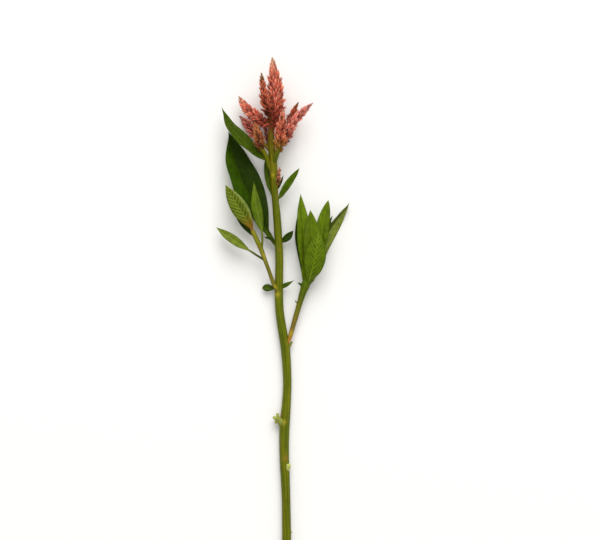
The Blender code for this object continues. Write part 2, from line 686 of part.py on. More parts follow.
def build_leaf(parts, name, cutters_by_stem):
    """A leaf lofted from its round stalk into its blade, cut to sit on the stem that bears it."""
    leaf = LEAVES[name]
    path = Path(leaf["midrib"])
    stations, columns = next(grid[1:] for grid in LEAF_GRIDS if leaf["width"] > grid[0])
    shape = bmesh.new()
    rows = []
    for k in range(stations):
        upper, lower = leaf_section(leaf, path, k / (stations - 1), columns)
        rows.append(([shape.verts.new(p * MM) for p in upper], [shape.verts.new(p * MM) for p in lower]))
    for (up_a, low_a), (up_b, low_b) in zip(rows, rows[1:]):
        for j in range(columns - 1):
            for a, b, turn in ((up_a, up_b, 1), (low_a, low_b, -1)):
                shape.faces.new([a[j], a[j + 1], b[j + 1]][::turn])
                shape.faces.new([a[j], b[j + 1], b[j]][::turn])
        shape.faces.new([up_a[0], up_b[0], low_b[0], low_a[0]])
        shape.faces.new([up_a[-1], low_a[-1], low_b[-1], up_b[-1]])
    for up, low in (rows[0], rows[-1]):
        for j in range(columns - 1):
            shape.faces.new([up[j], up[j + 1], low[j + 1], low[j]])
    bmesh.ops.recalc_face_normals(shape, faces=shape.faces)
    mesh = bpy.data.meshes.new(name)
    shape.to_mesh(mesh)
    shape.free()
    made = bpy.data.objects.new(name, mesh)
    parts.objects.link(made)
    cut(made, cutters_by_stem[leaf["on"]])
    return made


def finish(thing, root, material, smooth_below):
    """Hangs the object on the root, and gives it its finish."""
    thing.data.materials.clear()
    thing.data.materials.append(material)
    thing.data.shade_smooth()
    thing.data.set_sharp_from_angle(angle=math.radians(smooth_below))
    thing.parent = root


def main():
    clear_scene()
    parts = new_collection(OBJECT_NAME)
    cutters = new_collection("cutters")
    root = bpy.data.objects.new(OBJECT_NAME, None)
    parts.objects.link(root)
    outline = ridged_outline("stem_outline", STEM_RIDGES, RIDGE_DEPTH)
    cutters.objects.link(outline)
    surface = surface_block(cutters)

    stem_green = new_material("stem_green", STEM_GREEN, 0.5)
    shoot_green = new_material("shoot_green", SHOOT_GREEN, 0.5)
    finish(build_main_stem(parts, outline, surface), root, stem_green, 50)

    stem_seat = stem_cutter(cutters, "main_stem_seat", STEM_POINTS, STEM_STATIONS, outline)
    left_seat = stem_cutter(cutters, "left_shoot_seat", LEFT_SHOOT_POINTS, SHOOT_STATIONS, None)
    right_seat = stem_cutter(cutters, "right_shoot_seat", RIGHT_SHOOT_POINTS, SHOOT_STATIONS, None)
    for name, points in (("left_shoot", LEFT_SHOOT_POINTS), ("right_shoot", RIGHT_SHOOT_POINTS)):
        shoot = tube(name, points, SHOOT_STATIONS)
        parts.objects.link(shoot)
        cut(shoot, stem_seat)
        finish(shoot, root, shoot_green, 50)

    paths = {name: Path(spike["axis"]) for name, spike in SPIKES.items()}
    stem_path = Path(STEM_POINTS)
    for name, spike in SPIKES.items():
        material = new_material(name + "_florets", spike["colour"], 0.6)
        finish(build_spike(parts, cutters, name, paths, stem_path), root, material, 20)

    seats = {"main_stem": stem_seat, "left_shoot": left_seat, "right_shoot": right_seat}
    for name, leaf in LEAVES.items():
        material = new_material(name + "_blade", leaf["colour"], 0.45)
        finish(build_leaf(parts, name, seats), root, material, 60)


main()
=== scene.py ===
"""The looks of one cut stem of wheat celosia, lying on a pale surface and seen from above.

Places and sizes are in millimetres in the frame's own axes, and MM turns them into metres.
+Y runs along the stem to the flower head, +Z is up, and the surface is the plane Z = 0.
"""

import math

import bpy
import numpy as np
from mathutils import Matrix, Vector

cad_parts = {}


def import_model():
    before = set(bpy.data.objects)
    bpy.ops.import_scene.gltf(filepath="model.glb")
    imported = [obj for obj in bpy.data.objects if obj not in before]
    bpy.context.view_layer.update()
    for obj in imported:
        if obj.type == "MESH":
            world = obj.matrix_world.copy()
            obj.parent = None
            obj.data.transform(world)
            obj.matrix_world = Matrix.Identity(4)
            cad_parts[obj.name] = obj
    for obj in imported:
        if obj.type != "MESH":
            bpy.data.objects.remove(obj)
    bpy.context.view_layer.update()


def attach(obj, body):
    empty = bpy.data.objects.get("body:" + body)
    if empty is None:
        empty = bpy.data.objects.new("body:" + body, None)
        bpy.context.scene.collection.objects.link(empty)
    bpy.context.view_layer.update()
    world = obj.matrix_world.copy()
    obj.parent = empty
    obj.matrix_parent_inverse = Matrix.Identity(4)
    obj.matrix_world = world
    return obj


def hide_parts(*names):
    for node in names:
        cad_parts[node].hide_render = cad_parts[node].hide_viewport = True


MM = 0.001
UP = np.array([0, 0, 1])

# Where each group of random draws starts
STEM_SEED, SHOOT_SEED, FLORET_SEED, STUB_SEED, STALK_SEED, BUD_SEED_STEP = 3, 5, 11, 20, 40, 9

# The view straight down: its middle and its width on the surface, and the camera's height and sensor
VIEW_CENTRE, VIEW_WIDTH, CAMERA_HEIGHT, SENSOR_WIDTH = (15.66, 32.85), 540, 3000, 36

# The main stem: x, y, z and radius at each point, from the cut end to the foot of the top spike
STEM_POINTS = [
    (3.8, -223.6, 4.3, 4), (3.6, -200, 4.2, 3.85), (3.2, -174, 4.2, 3.75), (2.4, -152, 4.2, 3.95),
    (1.9, -142, 4.2, 4.1), (1.5, -126, 4.1, 4.2), (1.7, -112, 4.05, 4.4), (2.3, -102, 4.1, 4.3),
    (3.7, -84, 4.2, 3.8), (4.3, -66, 4.3, 3.65), (2.7, -39, 4.7, 4), (-0.3, -20, 5.2, 3.85),
    (-2.7, -3, 5.8, 3.7), (-3.3, 15, 6.6, 3.75), (-3, 30, 7.3, 3.5), (-2.8, 42, 7.9, 3.5),
    (-3.4, 56, 8.8, 3.5), (-5.1, 82, 10.4, 3.35), (-6.7, 99, 11.6, 2.95), (-7.5, 116, 12.9, 3.3),
    (-8.5, 131, 14.1, 3.6), (-9.7, 142, 15, 3.1), (-10.1, 158, 16.4, 2.7), (-9.2, 165.5, 17.2, 2.5),
    (-7.8, 171, 17.8, 2.3),
]
SHOOTS = dict(
    left_shoot=[
        (-4.4, 13.1, 8.2, 1.9), (-8.6, 22.1, 9.6, 1.8), (-12.3, 32.5, 11, 1.7), (-16.3, 43.4, 12.2, 1.85),
        (-19.3, 51.5, 13.4, 2.15), (-23.2, 60.2, 14.8, 2.15), (-26.6, 67.6, 16, 1.9),
    ],
    right_shoot=[
        (3.8, -34.5, 5, 1.6), (6.6, -27, 5.3, 2), (8.8, -19.8, 5.6, 2.15), (12, -8.5, 6.2, 2.35),
        (15.4, 3.2, 7, 2.6), (18.5, 13.4, 7.8, 3.3), (20.8, 20, 8.6, 4), (22.8, 27, 9.8, 2.2),
    ],
)

# Stubs of side shoots, and scars: the foot, the end, how pale it is and how ragged its end is.
# The last three are the lobes of the first stub, which is broken
STUBS = [
    ((-0.2, -105.4, 5.4, 3.3), (-5.4, -100, 6.6, 2.6), 0.35, 0.35),
    ((3.6, -148.4, 4.9, 2.2), (5.6, -142.2, 7.5, 2.1), 0.95, 0.25),
    ((3.6, -39.5, 4.9, 1.9), (8.5, -31.8, 5.1, 0.8), 0.1, 0.1),
    ((4.6, -205.4, 4.4, 2), (7.4, -202.2, 4.8, 1.2), 0.1, 0.15),
    ((-3.4, -101.4, 6.2, 1.6), (-4.6, -96.4, 7, 1.3), 0.6, 0.2),
    ((-4.6, -101, 6.4, 1.6), (-8, -99.4, 6.8, 1.4), 0.75, 0.2),
    ((-3.6, -103, 6, 1.6), (-6.2, -104, 6.4, 1.3), 0.6, 0.2),
]

# A small bud on a side shoot, its foot and its end
BUDS = dict(right_shoot=[(14.6, 1.2, 7.4, 1), (11.2, 5.4, 8.2, 0.4)])

# Marks on the stems by colour: the place along Y, the angle round the stem in degrees and the size
MARKS = dict(
    main_stem=dict(
        brown=[(-136, 75, 5), (-97, 150, 3), (-33, 35, 3.4), (51, 95, 2.4), (98, 60, 2.2), (129, 120, 2.6)],
        yellow=[(11, 112, 5), (-104, 110, 5), (118, 115, 4)],
    ),
    left_shoot=dict(brown=[(54.5, 110, 2)], yellow=[(18, 90, 3), (45.5, 60, 2.5)]),
    right_shoot=dict(brown=[(-28, 120, 3), (3, 160, 2)], yellow=[(-24, 90, 5)]),
)

RINGS_BY_MM, LEAST_RINGS = 0.9, 10
STEM_SIDES, SHOOT_SIDES, STALK_SIDES = 44, 24, 20
# How many ridges go round a stem and how high they are, as a share of the radius
RIDGES = ((6, 0.03), (9, 0.018), (17, 0.008))
RIDGE_DRIFT, RIDGE_SWINGS = (0.2, 0.6), (1.5, 3)
# How far below its foot a stalk starts, in radii, and how thin it is there
SINK, SUNK_TAPER = 3.2, 0.7
# Where stem and stalks end inside their spikes, as a share of the axis, and how thick they are there
STEM_INSIDE, STEM_TIP_RADIUS, STALK_INSIDE, STALK_TIP_TAPER = 0.06, 2, 0.08, 0.8
SHOOT_END, SHOOT_END_TAPER = 2.2, 0.45
STUB_COLOURS = (0.3, 0.5)
# The cut or broken face: its rings inward from the rim, how far they stand out, and how rough it is
FACE_SHARES, FACE_RISE = np.array([0.94, 0.8, 0.6, 0.38, 0.16]), np.array([0.6, 1, 0.9, 0.6, 0.45])
CUT_BULGE, CUT_RAGGED, BREAK_BULGE, LEAST_BREAK_PALE = 0.12, 0.06, 0.5, 0.4
PALE_FROM, PALE_TO = 0.45, 0.8
LOWEST = 0.02

# Spikes of florets: the radius over the floret tips, the first points of the stalk that carries them,
# and the axis from the foot to the tip. The usual one gives the rest where a spike has no value of its
# own: the stalk's radius and its part of the stem's colours, how soon the tip tapers, how full the
# spike is, where its florets start as a share of the axis, and their least length
USUAL_SPIKE = dict(
    stalk_radius=1.5, stalk_colours=(0.88, 1), taper=0.54, full=1, first=-0.12, least_floret=2.5,
    slot="coral_florets", paint="coral",
)
SPIKES = dict(
    spike_top=dict(radius=8.6, full=1.1, first=-0.32,
        axis=[(-7.65, 171.3, 17.9), (-6.2, 180, 18.4), (-5.9, 189.4, 19), (-7, 202.7, 19.6),
        (-9.1, 223.1, 20.4)]),
    spike_upper_left=dict(radius=6.2, stalk=[(-9.6, 158.6, 16.4), (-10.8, 166, 19.2)], paint="rust",
        full=1.05, first=-0.3, axis=[(-12, 171.4, 22), (-14.1, 179.5, 24.6), (-16.2, 190.2, 26.4),
        (-17.8, 199.6, 27.2), (-18.7, 208.8, 27.4)]),
    spike_left=dict(radius=6.8, stalk=[(-10.1, 154.6, 16.1), (-11.8, 161.6, 17.6)], taper=0.46, full=1.1,
        first=-0.25, axis=[(-14.8, 165, 18.2), (-21, 167.6, 17), (-27.8, 173.4, 15), (-34, 180.2, 13),
        (-39.3, 188.7, 11.4)]),
    spike_lower_left=dict(radius=6.4, stalk=[(-9.6, 137, 14.6), (-16.8, 146.2, 11)], paint="pink", full=1.12,
        first=-0.2,
        axis=[(-21.6, 152.4, 7.4), (-27.6, 159.1, 5.1), (-32.6, 164.9, 4.5), (-38.5, 171.2, 4.6)]),
    spike_front_left=dict(radius=6.2, stalk=[(-11.6, 125, 14.4), (-13.9, 132.6, 16.2), (-16.6, 138.2, 18.4)],
        stalk_radius=2, stalk_colours=(0.6, 0.92), paint="ochre", slot="ochre_florets",
        axis=[(-19.7, 142.2, 20.8), (-21.3, 150.7, 24.6), (-23.2, 158.5, 28.4), (-25, 165.1, 31)]),
    spike_front_right=dict(radius=6.4, stalk=[(-8, 127, 13.8), (-5.2, 136.6, 19.6)], stalk_radius=2.4,
        stalk_colours=(0.4, 0.9), paint="golden", full=1.06,
        axis=[(-2.9, 142.7, 23.2), (-1.5, 155.9, 26.6), (-0.4, 166.6, 28.6), (1, 177.4, 30)]),
    # Brown paint: painted shade for this spike, which lies low between its neighbours
    spike_back_right=dict(radius=5.4, stalk=[(-9.7, 141, 14.8), (-2.6, 146.2, 11.6)], paint="brown",
        taper=0.5, full=1.1, first=-0.05,
        axis=[(3.3, 149.5, 9.8), (6.3, 164, 7.8), (10.2, 175.2, 8), (14.3, 183.6, 8.6)]),
    spike_right=dict(radius=5.6, stalk=[(-9, 134, 14.4), (-2.6, 141, 16.2)], paint="pink", taper=0.42,
        full=1.06, first=-0.15,
        axis=[(0.4, 147.4, 17), (7.3, 161, 18.6), (16.3, 172.3, 20.4), (27.1, 182.2, 22)]),
    spike_under_left=dict(radius=5, stalk=[(-9.8, 141.6, 14.8), (-12, 145.4, 11.4)], paint="mauve",
        first=-0.4, axis=[(-13, 149, 9.2), (-14.6, 156.5, 7.8), (-16.2, 163.2, 6.6), (-17.9, 169.6, 5.8)]),
    spike_bud=dict(radius=2.6, stalk=[(-7.4, 102.5, 12), (-5.6, 106.8, 13.6)], stalk_radius=1, paint="bud",
        least_floret=3.8, slot="ochre_florets",
        axis=[(-4.1, 110.8, 15.2), (-3.4, 117.5, 16.4), (-2.4, 125, 17.3)]),
)

# The outline of a spike, and the florets on its spiral
GOLDEN_ANGLE = math.radians(137.508)
SHOULDER, FOOT_NARROWING, LEAST_OUTLINE = 0.25, 0.1, 0.1
FLORETS_BY_AREA, LEAST_FLORETS, LAST_FLORET = 0.24, 18, 0.965
SPREAD_AT_FOOT, SPREAD_AT_TIP, SPREAD_EASE = math.radians(56), math.radians(12), 0.7
REACH_TRIES, SHORTENING_TRIES, SHORTENING = 5, 2, 0.82
# How much shorter the lowest florets are, from which share down, up to which share no floret is left
# out, and from where to where along the spike the florets close
FOOT_SHORTENING, SHORT_BELOW, ALWAYS_KEPT, CLOSING, CLOSED = 0.35, 0.05, 0.2, 0.35, 0.9
CLEAR_OF_NEIGHBOURS, NEIGHBOUR_STATIONS = 0.22, 33
# The core's radius as a share of the spike's, where florets leave it, its least, and its rings and sides
CORE_SHARE, ROOT_SHARE, LEAST_CORE, CORE_RINGS, CORE_SIDES = 0.3, 0.6, 0.3, 24, 12
LOWEST_FLORET, GRAIN = 0.25, 14

# A floret of length 1: its kinds from closed to open, its tepals and bracts, and a tepal's form
FLORET_KINDS, TEPALS, BRACTS = 12, 5, 2
TEPAL_STATIONS = np.array([0.05, 0.2, 0.38, 0.58, 0.78, 0.93])
TEPAL_HALF_WIDTH, TEPAL_THICKNESS, TEPAL_EDGE = 0.17, 0.011, 0.006
BUD_RADIUS, BUD_FLATTENING, OPENING, OPEN_SHORTENING, WIDEST_WRAP = 0.125, 0.4, 0.42, 0.12, 0.85
BRACT_LENGTH, BRACT_OPENING, BRACT_TURN, BRACT_DARKENING, FOOT_RADIUS = 0.45, 0.12, 0.15, 0.15, 0.02
# How much the tepals of a floret and the florets of a spike differ
TEPAL_TURNS, TEPAL_LENGTHS, TEPAL_SPREADS = (-0.15, 0.15), (0.86, 1), (0.7, 1.3)
TEPAL_RECURVES, TEPAL_TONES = (-0.04, 0.08), (-0.12, 0.12)
FLORET_TURNS, FLORET_SPREADS, FLORET_REACHES = (-0.15, 0.15), (0.88, 1.1), (0.92, 1.12)
FLORET_CURVES, FLORET_TONE, FLORET_TONE_SPREAD = (0.02, 0.22), 0.5, 0.22

# Leaves: points of the midrib, and the form: the width, the length of stalk as a share of the whole,
# where the blade is widest, and in degrees the fold of each half and the blade's roll at its foot and at
# its tip. The usual one gives the rest where a leaf has no value of its own: the height of the
# margin's waves, how bright the halves are, which is painted light and shade for how each half faces
# the light, how clear the veins are and how they arch, half the width of a winged stalk, the thickness
# of the midrib, a pale band between two shares of the right half and its strength, and how far the
# stalk's colour runs into the blade. A turned leaf shows its underside
USUAL_LEAF = dict(
    slot="leaf_dark", paint="deep", wave=0, halves=(1, 1), veins=0.5, arch=0.05, wing=0, rib=1,
    band=(2, 3, 0), foot_reach=0.12, turned=False,
)
LEAVES = dict(
    leaf_upper_left=dict(paint="upper", form=(13, 0.08, 0.44, 22, -24, -24), wave=0.5, halves=(0.95, 0.85),
        veins=0.35, midrib=[(-9.4, 128.7, 13.6), (-15.8, 131.5, 16), (-23.6, 138, 17.6), (-31.8, 145.4, 18),
        (-39.8, 153, 17.4), (-46.6, 161, 15.6), (-51, 169.9, 13.4), (-54.6, 179, 11.4)]),
    leaf_big_left=dict(form=(32, 0.11, 0.53, 24, -18, -34), wave=1, halves=(1.9, 0.8), veins=0.28, wing=2.8,
        vein_gap=4.6, midrib=[(-4.1, 51.7, 8.6), (-9.3, 58.9, 8), (-16.5, 71.5, 7.2), (-22.5, 84.5, 6.6),
        (-28.7, 97.5, 6.2), (-35.5, 111, 6), (-41.1, 124.9, 5.8), (-45.3, 140.2, 5.4), (-48.4, 157.3, 4.6)]),
    leaf_right=dict(paint="upper", form=(8.4, 0.08, 0.46, 40, 10, 6), halves=(1.8, 1.35),
        midrib=[(-5.9, 93.8, 11.4), (-1.4, 99.6, 13.6), (4.8, 109, 14.8), (10, 116.6, 14.6),
        (15.3, 124.4, 13.4)]),
    leaf_under_stem=dict(paint="upper", form=(5.4, 0.12, 0.52, 14, 16, 8),
        midrib=[(-7.7, 95.6, 11), (-11.3, 105.1, 9.4), (-13.2, 115.4, 8.4), (-14.5, 124.9, 7.8),
        (-15.4, 134.3, 7.2)]),
    leaf_dark_right=dict(form=(6.6, 0.1, 0.5, 16, 8, -8), halves=(0.85, 0.7),
        midrib=[(-3.7, 56.6, 8.8), (0.9, 59.3, 9.8), (5.6, 63.4, 9.4), (9.7, 68.2, 8.4)]),
    bract_left=dict(form=(2.8, 0.2, 0.55, 30, 0, 30),
        midrib=[(-4.1, 59.8, 9.2), (-8.6, 60.1, 11), (-12.5, 61.7, 11.6), (-16.4, 62.1, 11.2)]),
    leaf_node_left=dict(slot="leaf_mid", paint="upper", form=(6.8, 0.18, 0.62, 10, 0, 0), wing=2.6,
        midrib=[(-3.2, 14.9, 5.4), (-8.6, 16.3, 5.2), (-13.5, 16.9, 5), (-18.5, 16.5, 4.6)]),
    leaf_node_right=dict(slot="leaf_mid", paint="upper", form=(4.8, 0.12, 0.28, 34, 0, 30),
        midrib=[(-3.2, 17, 7.2), (2, 18.7, 8.2), (6.3, 21, 9.4), (10.8, 23.9, 10.4)]),
    bract_bud=dict(form=(3.2, 0.15, 0.5, 34, 40, 40),
        midrib=[(-6.8, 101.5, 11.8), (-3.1, 107.7, 11.4), (-0.9, 112.6, 12), (0.7, 117.8, 12.8)]),
    leaf_shoot_low=dict(slot="leaf_mid", paint="young", form=(8.6, 0.28, 0.5, 14, -24, -10), rib=1.3,
        wave=0.3, halves=(1, 0.9), midrib=[(-16.1, 41.5, 12), (-23.8, 46.5, 13.4), (-31.4, 51.4, 14.2),
        (-39.4, 56.6, 14.2), (-48, 62.6, 12.8), (-54.1, 67, 11), (-59.4, 71.2, 9.2)]),
    leaf_shoot_veined=dict(slot="leaf_light", paint="veined", form=(15.6, 0.06, 0.49, 16, 8, -6), wave=0.4,
        vein_gap=4.2, veins=0.88, band=(0.6, 0.8, 0.85), foot_reach=0.36, midrib=[(-25.2, 65.6, 15.8),
        (-30, 74.9, 18.4), (-36, 84.4, 20.2), (-42.1, 93.8, 21), (-47.3, 102.2, 20.4), (-51.1, 109.2, 19)]),
    leaf_shoot_back=dict(form=(5.4, 0.15, 0.5, 20, -20, -20),
        midrib=[(-23, 59.8, 14), (-28.8, 66, 12.2), (-35.4, 73.4, 11.2), (-41.9, 80.6, 10.6)]),
    leaf_shoot_inner=dict(slot="leaf_light", paint="pale", form=(10, 0.26, 0.44, -16, 0, 6), rib=1.25,
        wave=0.3, turned=True, halves=(1.15, 0.85), veins=0.6,
        midrib=[(-18.6, 50.4, 13.2), (-18.1, 58.8, 15), (-18.3, 66.9, 16.8), (-20.5, 75.8, 18.6),
        (-23.1, 87.4, 20.4), (-24.6, 99, 21.4), (-25.5, 111.7, 21.2)]),
    leaf_whorl_left=dict(slot="leaf_mid", paint="fresh", form=(12.6, 0.06, 0.52, 12, -22, -12), wave=0.3,
        veins=0.4, wing=3.2, halves=(1, 1.3), midrib=[(21.2, 20.3, 9.2), (19.9, 27, 11), (19.4, 35, 12.2),
        (18.9, 50.8, 13.2), (18.6, 65.1, 13.6), (18, 76.8, 13.4), (16.9, 88.4, 12.8), (16.2, 101.2, 11.8)]),
    leaf_whorl_left_back=dict(form=(7.4, 0.08, 0.52, 14, -24, -16),
        midrib=[(21, 18.5, 8), (18.4, 25, 6.8), (17.8, 34, 6), (16.3, 47.2, 5.6), (14.2, 61.6, 5.2),
        (13.9, 74.2, 5.2), (14.8, 86.7, 5.6)]),
    leaf_whorl_middle=dict(slot="leaf_mid", paint="fresh", form=(15.4, 0.06, 0.54, 12, 6, 0), wave=0.4,
        veins=0.55, wing=2.4, halves=(0.7, 1), midrib=[(22, 22.4, 9.6), (23.4, 29.5, 13.2), (25.4, 40, 16),
        (26.2, 51.6, 17.6), (26.3, 63.2, 18.2), (25.9, 74.9, 18.4), (24.9, 86.5, 18)]),
    leaf_whorl_front=dict(slot="leaf_light", paint="fresh", form=(20.6, 0.03, 0.52, -20, 4, 0), wave=0.4,
        turned=True, vein_gap=4.8, arch=0.09, veins=0.66, wing=4.6,
        midrib=[(22.4, 19.6, 11), (24.6, 26.4, 17), (27.4, 35.8, 21.8), (29.2, 45.6, 24.2),
        (30.6, 54.6, 24.6), (31.8, 62.4, 23), (32.4, 67, 21)]),
    leaf_whorl_right=dict(slot="leaf_mid", paint="fresh", form=(12.2, 0.08, 0.62, 14, 8, 0), wave=0.3,
        veins=0.4, wing=1.8, halves=(1.15, 0.8),
        midrib=[(23.3, 21, 8.8), (27.2, 28.6, 11.8), (30, 37.6, 13.8), (32.4, 48.1, 15.6), (34.9, 61.5, 16.4),
        (36.4, 74, 16.4), (38.7, 84.8, 15.8), (41, 95.2, 15)]),
    leaf_whorl_back=dict(paint="upper", form=(5.6, 0.12, 0.58, 12, 10, 0),
        midrib=[(22.3, 23.4, 8), (25, 28.2, 8), (28.6, 35.2, 9.6), (33, 49, 12), (37.8, 64, 12.6),
        (41.2, 73.6, 12.6), (44.8, 81.7, 12.2)]),
    leaf_whorl_outer=dict(slot="leaf_mid", paint="young", form=(21, 0.07, 0.52, 68, 64, 64),
        halves=(0.3, 1.05), wing=2.6,
        midrib=[(22, 18, 8.2), (26.4, 22.6, 6.8), (30, 28.2, 5.4), (35, 38.2, 3.2), (41.2, 51.7, 1.2),
        (47.9, 64.3, 0.2), (53.4, 75.1, 0.4), (57.3, 85.5, 2.4), (59.7, 92.9, 4.6)]),
    bract_whorl=dict(form=(2.2, 0.25, 0.5, 20, 0, 20),
        midrib=[(20.2, 15.4, 9), (17.6, 18.7, 10.4), (15.2, 20.6, 10.8), (13.2, 21.2, 10.4)]),
)
# How pointed the outline is at both ends, and how far the halves curl, in degrees
SHARPNESS, CURL = 2.2, 8
# The most degrees of fold for each mm of half a blade, and the least half that has the whole fold
FOLD_PER_MM, LEAST_FOLD_WIDTH = 12, 2
WAVES, WAVE_SHIFT = 3.5, 1.8
LEAST_HALF_WIDTH, BLADE_HALF_THICKNESS, JITTER = 0.12, 0.16, 0.02
# How high the blade stands between the veins, in a leaf of this width or more
PUCKER, PUCKER_LEAF_WIDTH = 0.3, 12
# The midrib: its radius in a leaf of this width or more, how much thinner it is at the tip, how much of
# it shows above the blade or above a turned one, and the depth and half the width of the groove over it
RIB_RADIUS, RIB_LEAF_WIDTH, RIB_TAPER, RIB_ABOVE, RIB_ABOVE_TURNED = 0.85, 8, 0.72, 0.35, 0.5
GROOVE_DEPTH, GROOVE_WIDTH = 0.3, 0.5
# How clear the midrib's colour is at the foot, how much of that goes to the tip, and where halves meet
RIB_CLEAR, RIB_FADING, HALVES_MEET = 0.9, 0.3, 0.12
VEIN_GAP, NARROW_VEIN_GAP, VEIN_ANGLE, VEIN_WIDTH, VEIN_SHIFT = 2.6, 1.8, math.radians(48), 0.14, 0.2
# Squares across half a blade and along it: how many for each mm, the least and the most
STEPS_BY_MM, LEAST_STEPS, MOST_STEPS = 0.8, 6, 24
ROWS_BY_MM, LEAST_ROWS, MOST_ROWS = 1.5, 36, 170
# Where along the leaf a stalk's wing starts, is full, narrows and ends, and where the blade is full
WING_FROM, WING_FULL, WING_TO = -0.03, 0.12, 0.4
BLADE_FROM, BLADE_FULL, BLADE_END, VEINS_END = 0.02, 0.16, 0.997, 0.78

# How much brighter than the screen's limit the light makes a white surface
LIGHT = 1.05


def display(colour):
    """A colour as the screen shows it in this light, from 0 to 255, as the colour that a shader takes."""
    shares = (value / 255 for value in colour)
    linear = (v / 12.92 if v <= 0.04045 else ((v + 0.055) / 1.055) ** 2.4 for v in shares)
    return (*(v / LIGHT for v in linear), 1)


# Each leaf's paint: the upper side, the veins, the stalk and the underside
LEAF_PAINTS = dict(
    deep=((34, 56, 0), (62, 82, 12), (70, 84, 12), (66, 84, 24)),
    upper=((58, 80, 4), (94, 112, 26), (90, 102, 16), (92, 108, 34)),
    fresh=((80, 104, 2), (124, 144, 16), (88, 106, 0), (72, 96, 0)),
    young=((96, 116, 20), (138, 150, 50), (70, 74, 8), (118, 134, 48)),
    pale=((84, 108, 8), (120, 140, 40), (110, 112, 24), (84, 108, 8)),
    veined=((70, 88, 0), (136, 150, 46), (140, 92, 14), (136, 148, 84)),
)

# Each spike's paint: the tepals' feet, middles and points, the young florets at the tip of the spike and
# the old ones at its foot. The deep feet are partly the tepals' own colour and partly painted shade
# where the florets crowd round the core
FLORET_PAINTS = dict(
    coral=((88, 4, 0), (224, 74, 46), (250, 172, 142), (218, 182, 150), (190, 76, 52)),
    pink=((138, 34, 18), (244, 98, 68), (248, 184, 166), (212, 160, 148), (180, 90, 60)),
    rust=((76, 4, 0), (198, 62, 30), (236, 148, 110), (134, 132, 84), (130, 50, 20)),
    mauve=((150, 56, 40), (226, 132, 112), (232, 176, 162), (210, 160, 150), (120, 70, 50)),
    golden=((112, 22, 0), (238, 84, 44), (248, 172, 138), (222, 158, 138), (184, 140, 16)),
    ochre=((80, 20, 0), (194, 88, 40), (238, 168, 112), (200, 132, 76), (126, 70, 26)),
    # A darker copy of the coral: painted shade for the back spike, which lies low between its neighbours
    brown=((98, 16, 6), (192, 64, 38), (226, 138, 100), (112, 88, 44), (130, 56, 24)),
    bud=((96, 56, 10), (190, 100, 60), (236, 162, 130), (214, 132, 106), (120, 106, 24)),
)

# Each stem's colours from its foot to its top
STEM_PAINTS = dict(
    main_stem=[(0, (96, 102, 2)), (0.45, (100, 108, 2)), (0.75, (100, 108, 6)),
        (0.91, (114, 110, 10)), (0.96, (126, 100, 24)), (1, (126, 90, 30))],
    left_shoot=[(0, (110, 106, 28)), (0.45, (104, 102, 24)), (0.6, (130, 128, 44)),
        (0.72, (116, 120, 22)), (0.9, (128, 130, 28)), (1, (132, 118, 30))],
    right_shoot=[(0, (150, 100, 30)), (0.14, (176, 124, 36)), (0.3, (116, 98, 44)),
        (0.5, (112, 108, 26)), (0.75, (90, 104, 8)), (1, (84, 110, 2))],
)
# Colours that others are multiplied by
WHITE, SHADED = (1, 1, 1, 1), (0.62, 0.54, 0.6, 1)
GREENER, YELLOWER = (0.6, 0.78, 0.5, 1), (1.42, 1.26, 1.25, 1)
DIM_LEAF, BRIGHT_LEAF = (0.62, 0.66, 0.55, 1), (1.3, 1.24, 1.15, 1)
DIM_FLORET, BRIGHT_FLORET = (0.42, 0.3, 0.26, 1), (1.35, 1.42, 1.4, 1)
# The colours of marks and broken ends, and how much leaves and dark leaves reflect
MARK_BROWN, MARK_YELLOW, PITH = (142, 108, 40), (176, 158, 40), (206, 212, 120)
LEAF_SPECULAR, DARK_SPECULAR = 0.09, 0.05

# The stage: the floor's colour and half its width in metres, the strength of the light from all sides,
# and the place, width and power of the key light, which makes the shadows fall down the picture
FLOOR_WHITE, FLOOR_REACH = (0.95, 0.935, 0.905, 1), 40
FAR_CLIP, WORLD_LIGHT = 120, 0.62
KEY_PLACE, KEY_SIZE, KEY_POWER = (0.7, 5, 4.6), 6, 412


# Curves, skins and meshes


class Path:
    """A smooth curve through points, by the share of its length."""

    def __init__(self, points):
        p = self.points = np.array(points, float)
        steps = np.linalg.norm(np.diff(p[:, :3], axis=0), axis=1)
        s = self.stations = np.concatenate([[0], np.cumsum(steps)])
        self.length = s[-1]
        before, after = [0, *range(len(p) - 1)], [*range(1, len(p)), -1]
        self.slopes = (p[after] - p[before]) / (s[after] - s[before])[:, None]

    def at(self, shares):
        """The points at these shares of the length, by a cubic between each two neighbours."""
        p, s, slopes = self.points, self.stations, self.slopes
        where = np.clip(np.atleast_1d(shares), 0, 1) * self.length
        i = np.clip(np.searchsorted(s, where) - 1, 0, len(p) - 2)
        span = s[i + 1] - s[i]
        u = (where - s[i]) / span
        rise = u * u * (3 - 2 * u)
        leave, arrive = u * (1 - u) ** 2 * span, u * u * (1 - u) * span
        held = p[i] * (1 - rise)[:, None] + p[i + 1] * rise[:, None]
        return held + slopes[i] * leave[:, None] - slopes[i + 1] * arrive[:, None]

    def frames(self, shares):
        """The direction along the curve, the level direction across it, and the one that faces up."""
        step = 0.01
        shares = np.atleast_1d(shares)
        ahead, behind = self.at(np.clip(shares + step, step, 1)), self.at(np.clip(shares - step, 0, 1 - step))
        along = unit(ahead[:, :3] - behind[:, :3])
        side = unit(np.cross(along, UP))
        return along, side, np.cross(side, along)


def unit(vectors):
    return vectors / np.maximum(np.linalg.norm(vectors, axis=-1, keepdims=True), 1e-9)


def smooth_step(low, high, value):
    """From 0 at low to 1 at high, eased at both ends."""
    u = np.clip((value - low) / (high - low), 0, 1)
    return u * u * (3 - 2 * u)


def in_scene(name, data):
    """A new object, linked to the scene."""
    made = bpy.data.objects.new(name, data)
    bpy.context.scene.collection.objects.link(made)
    return made


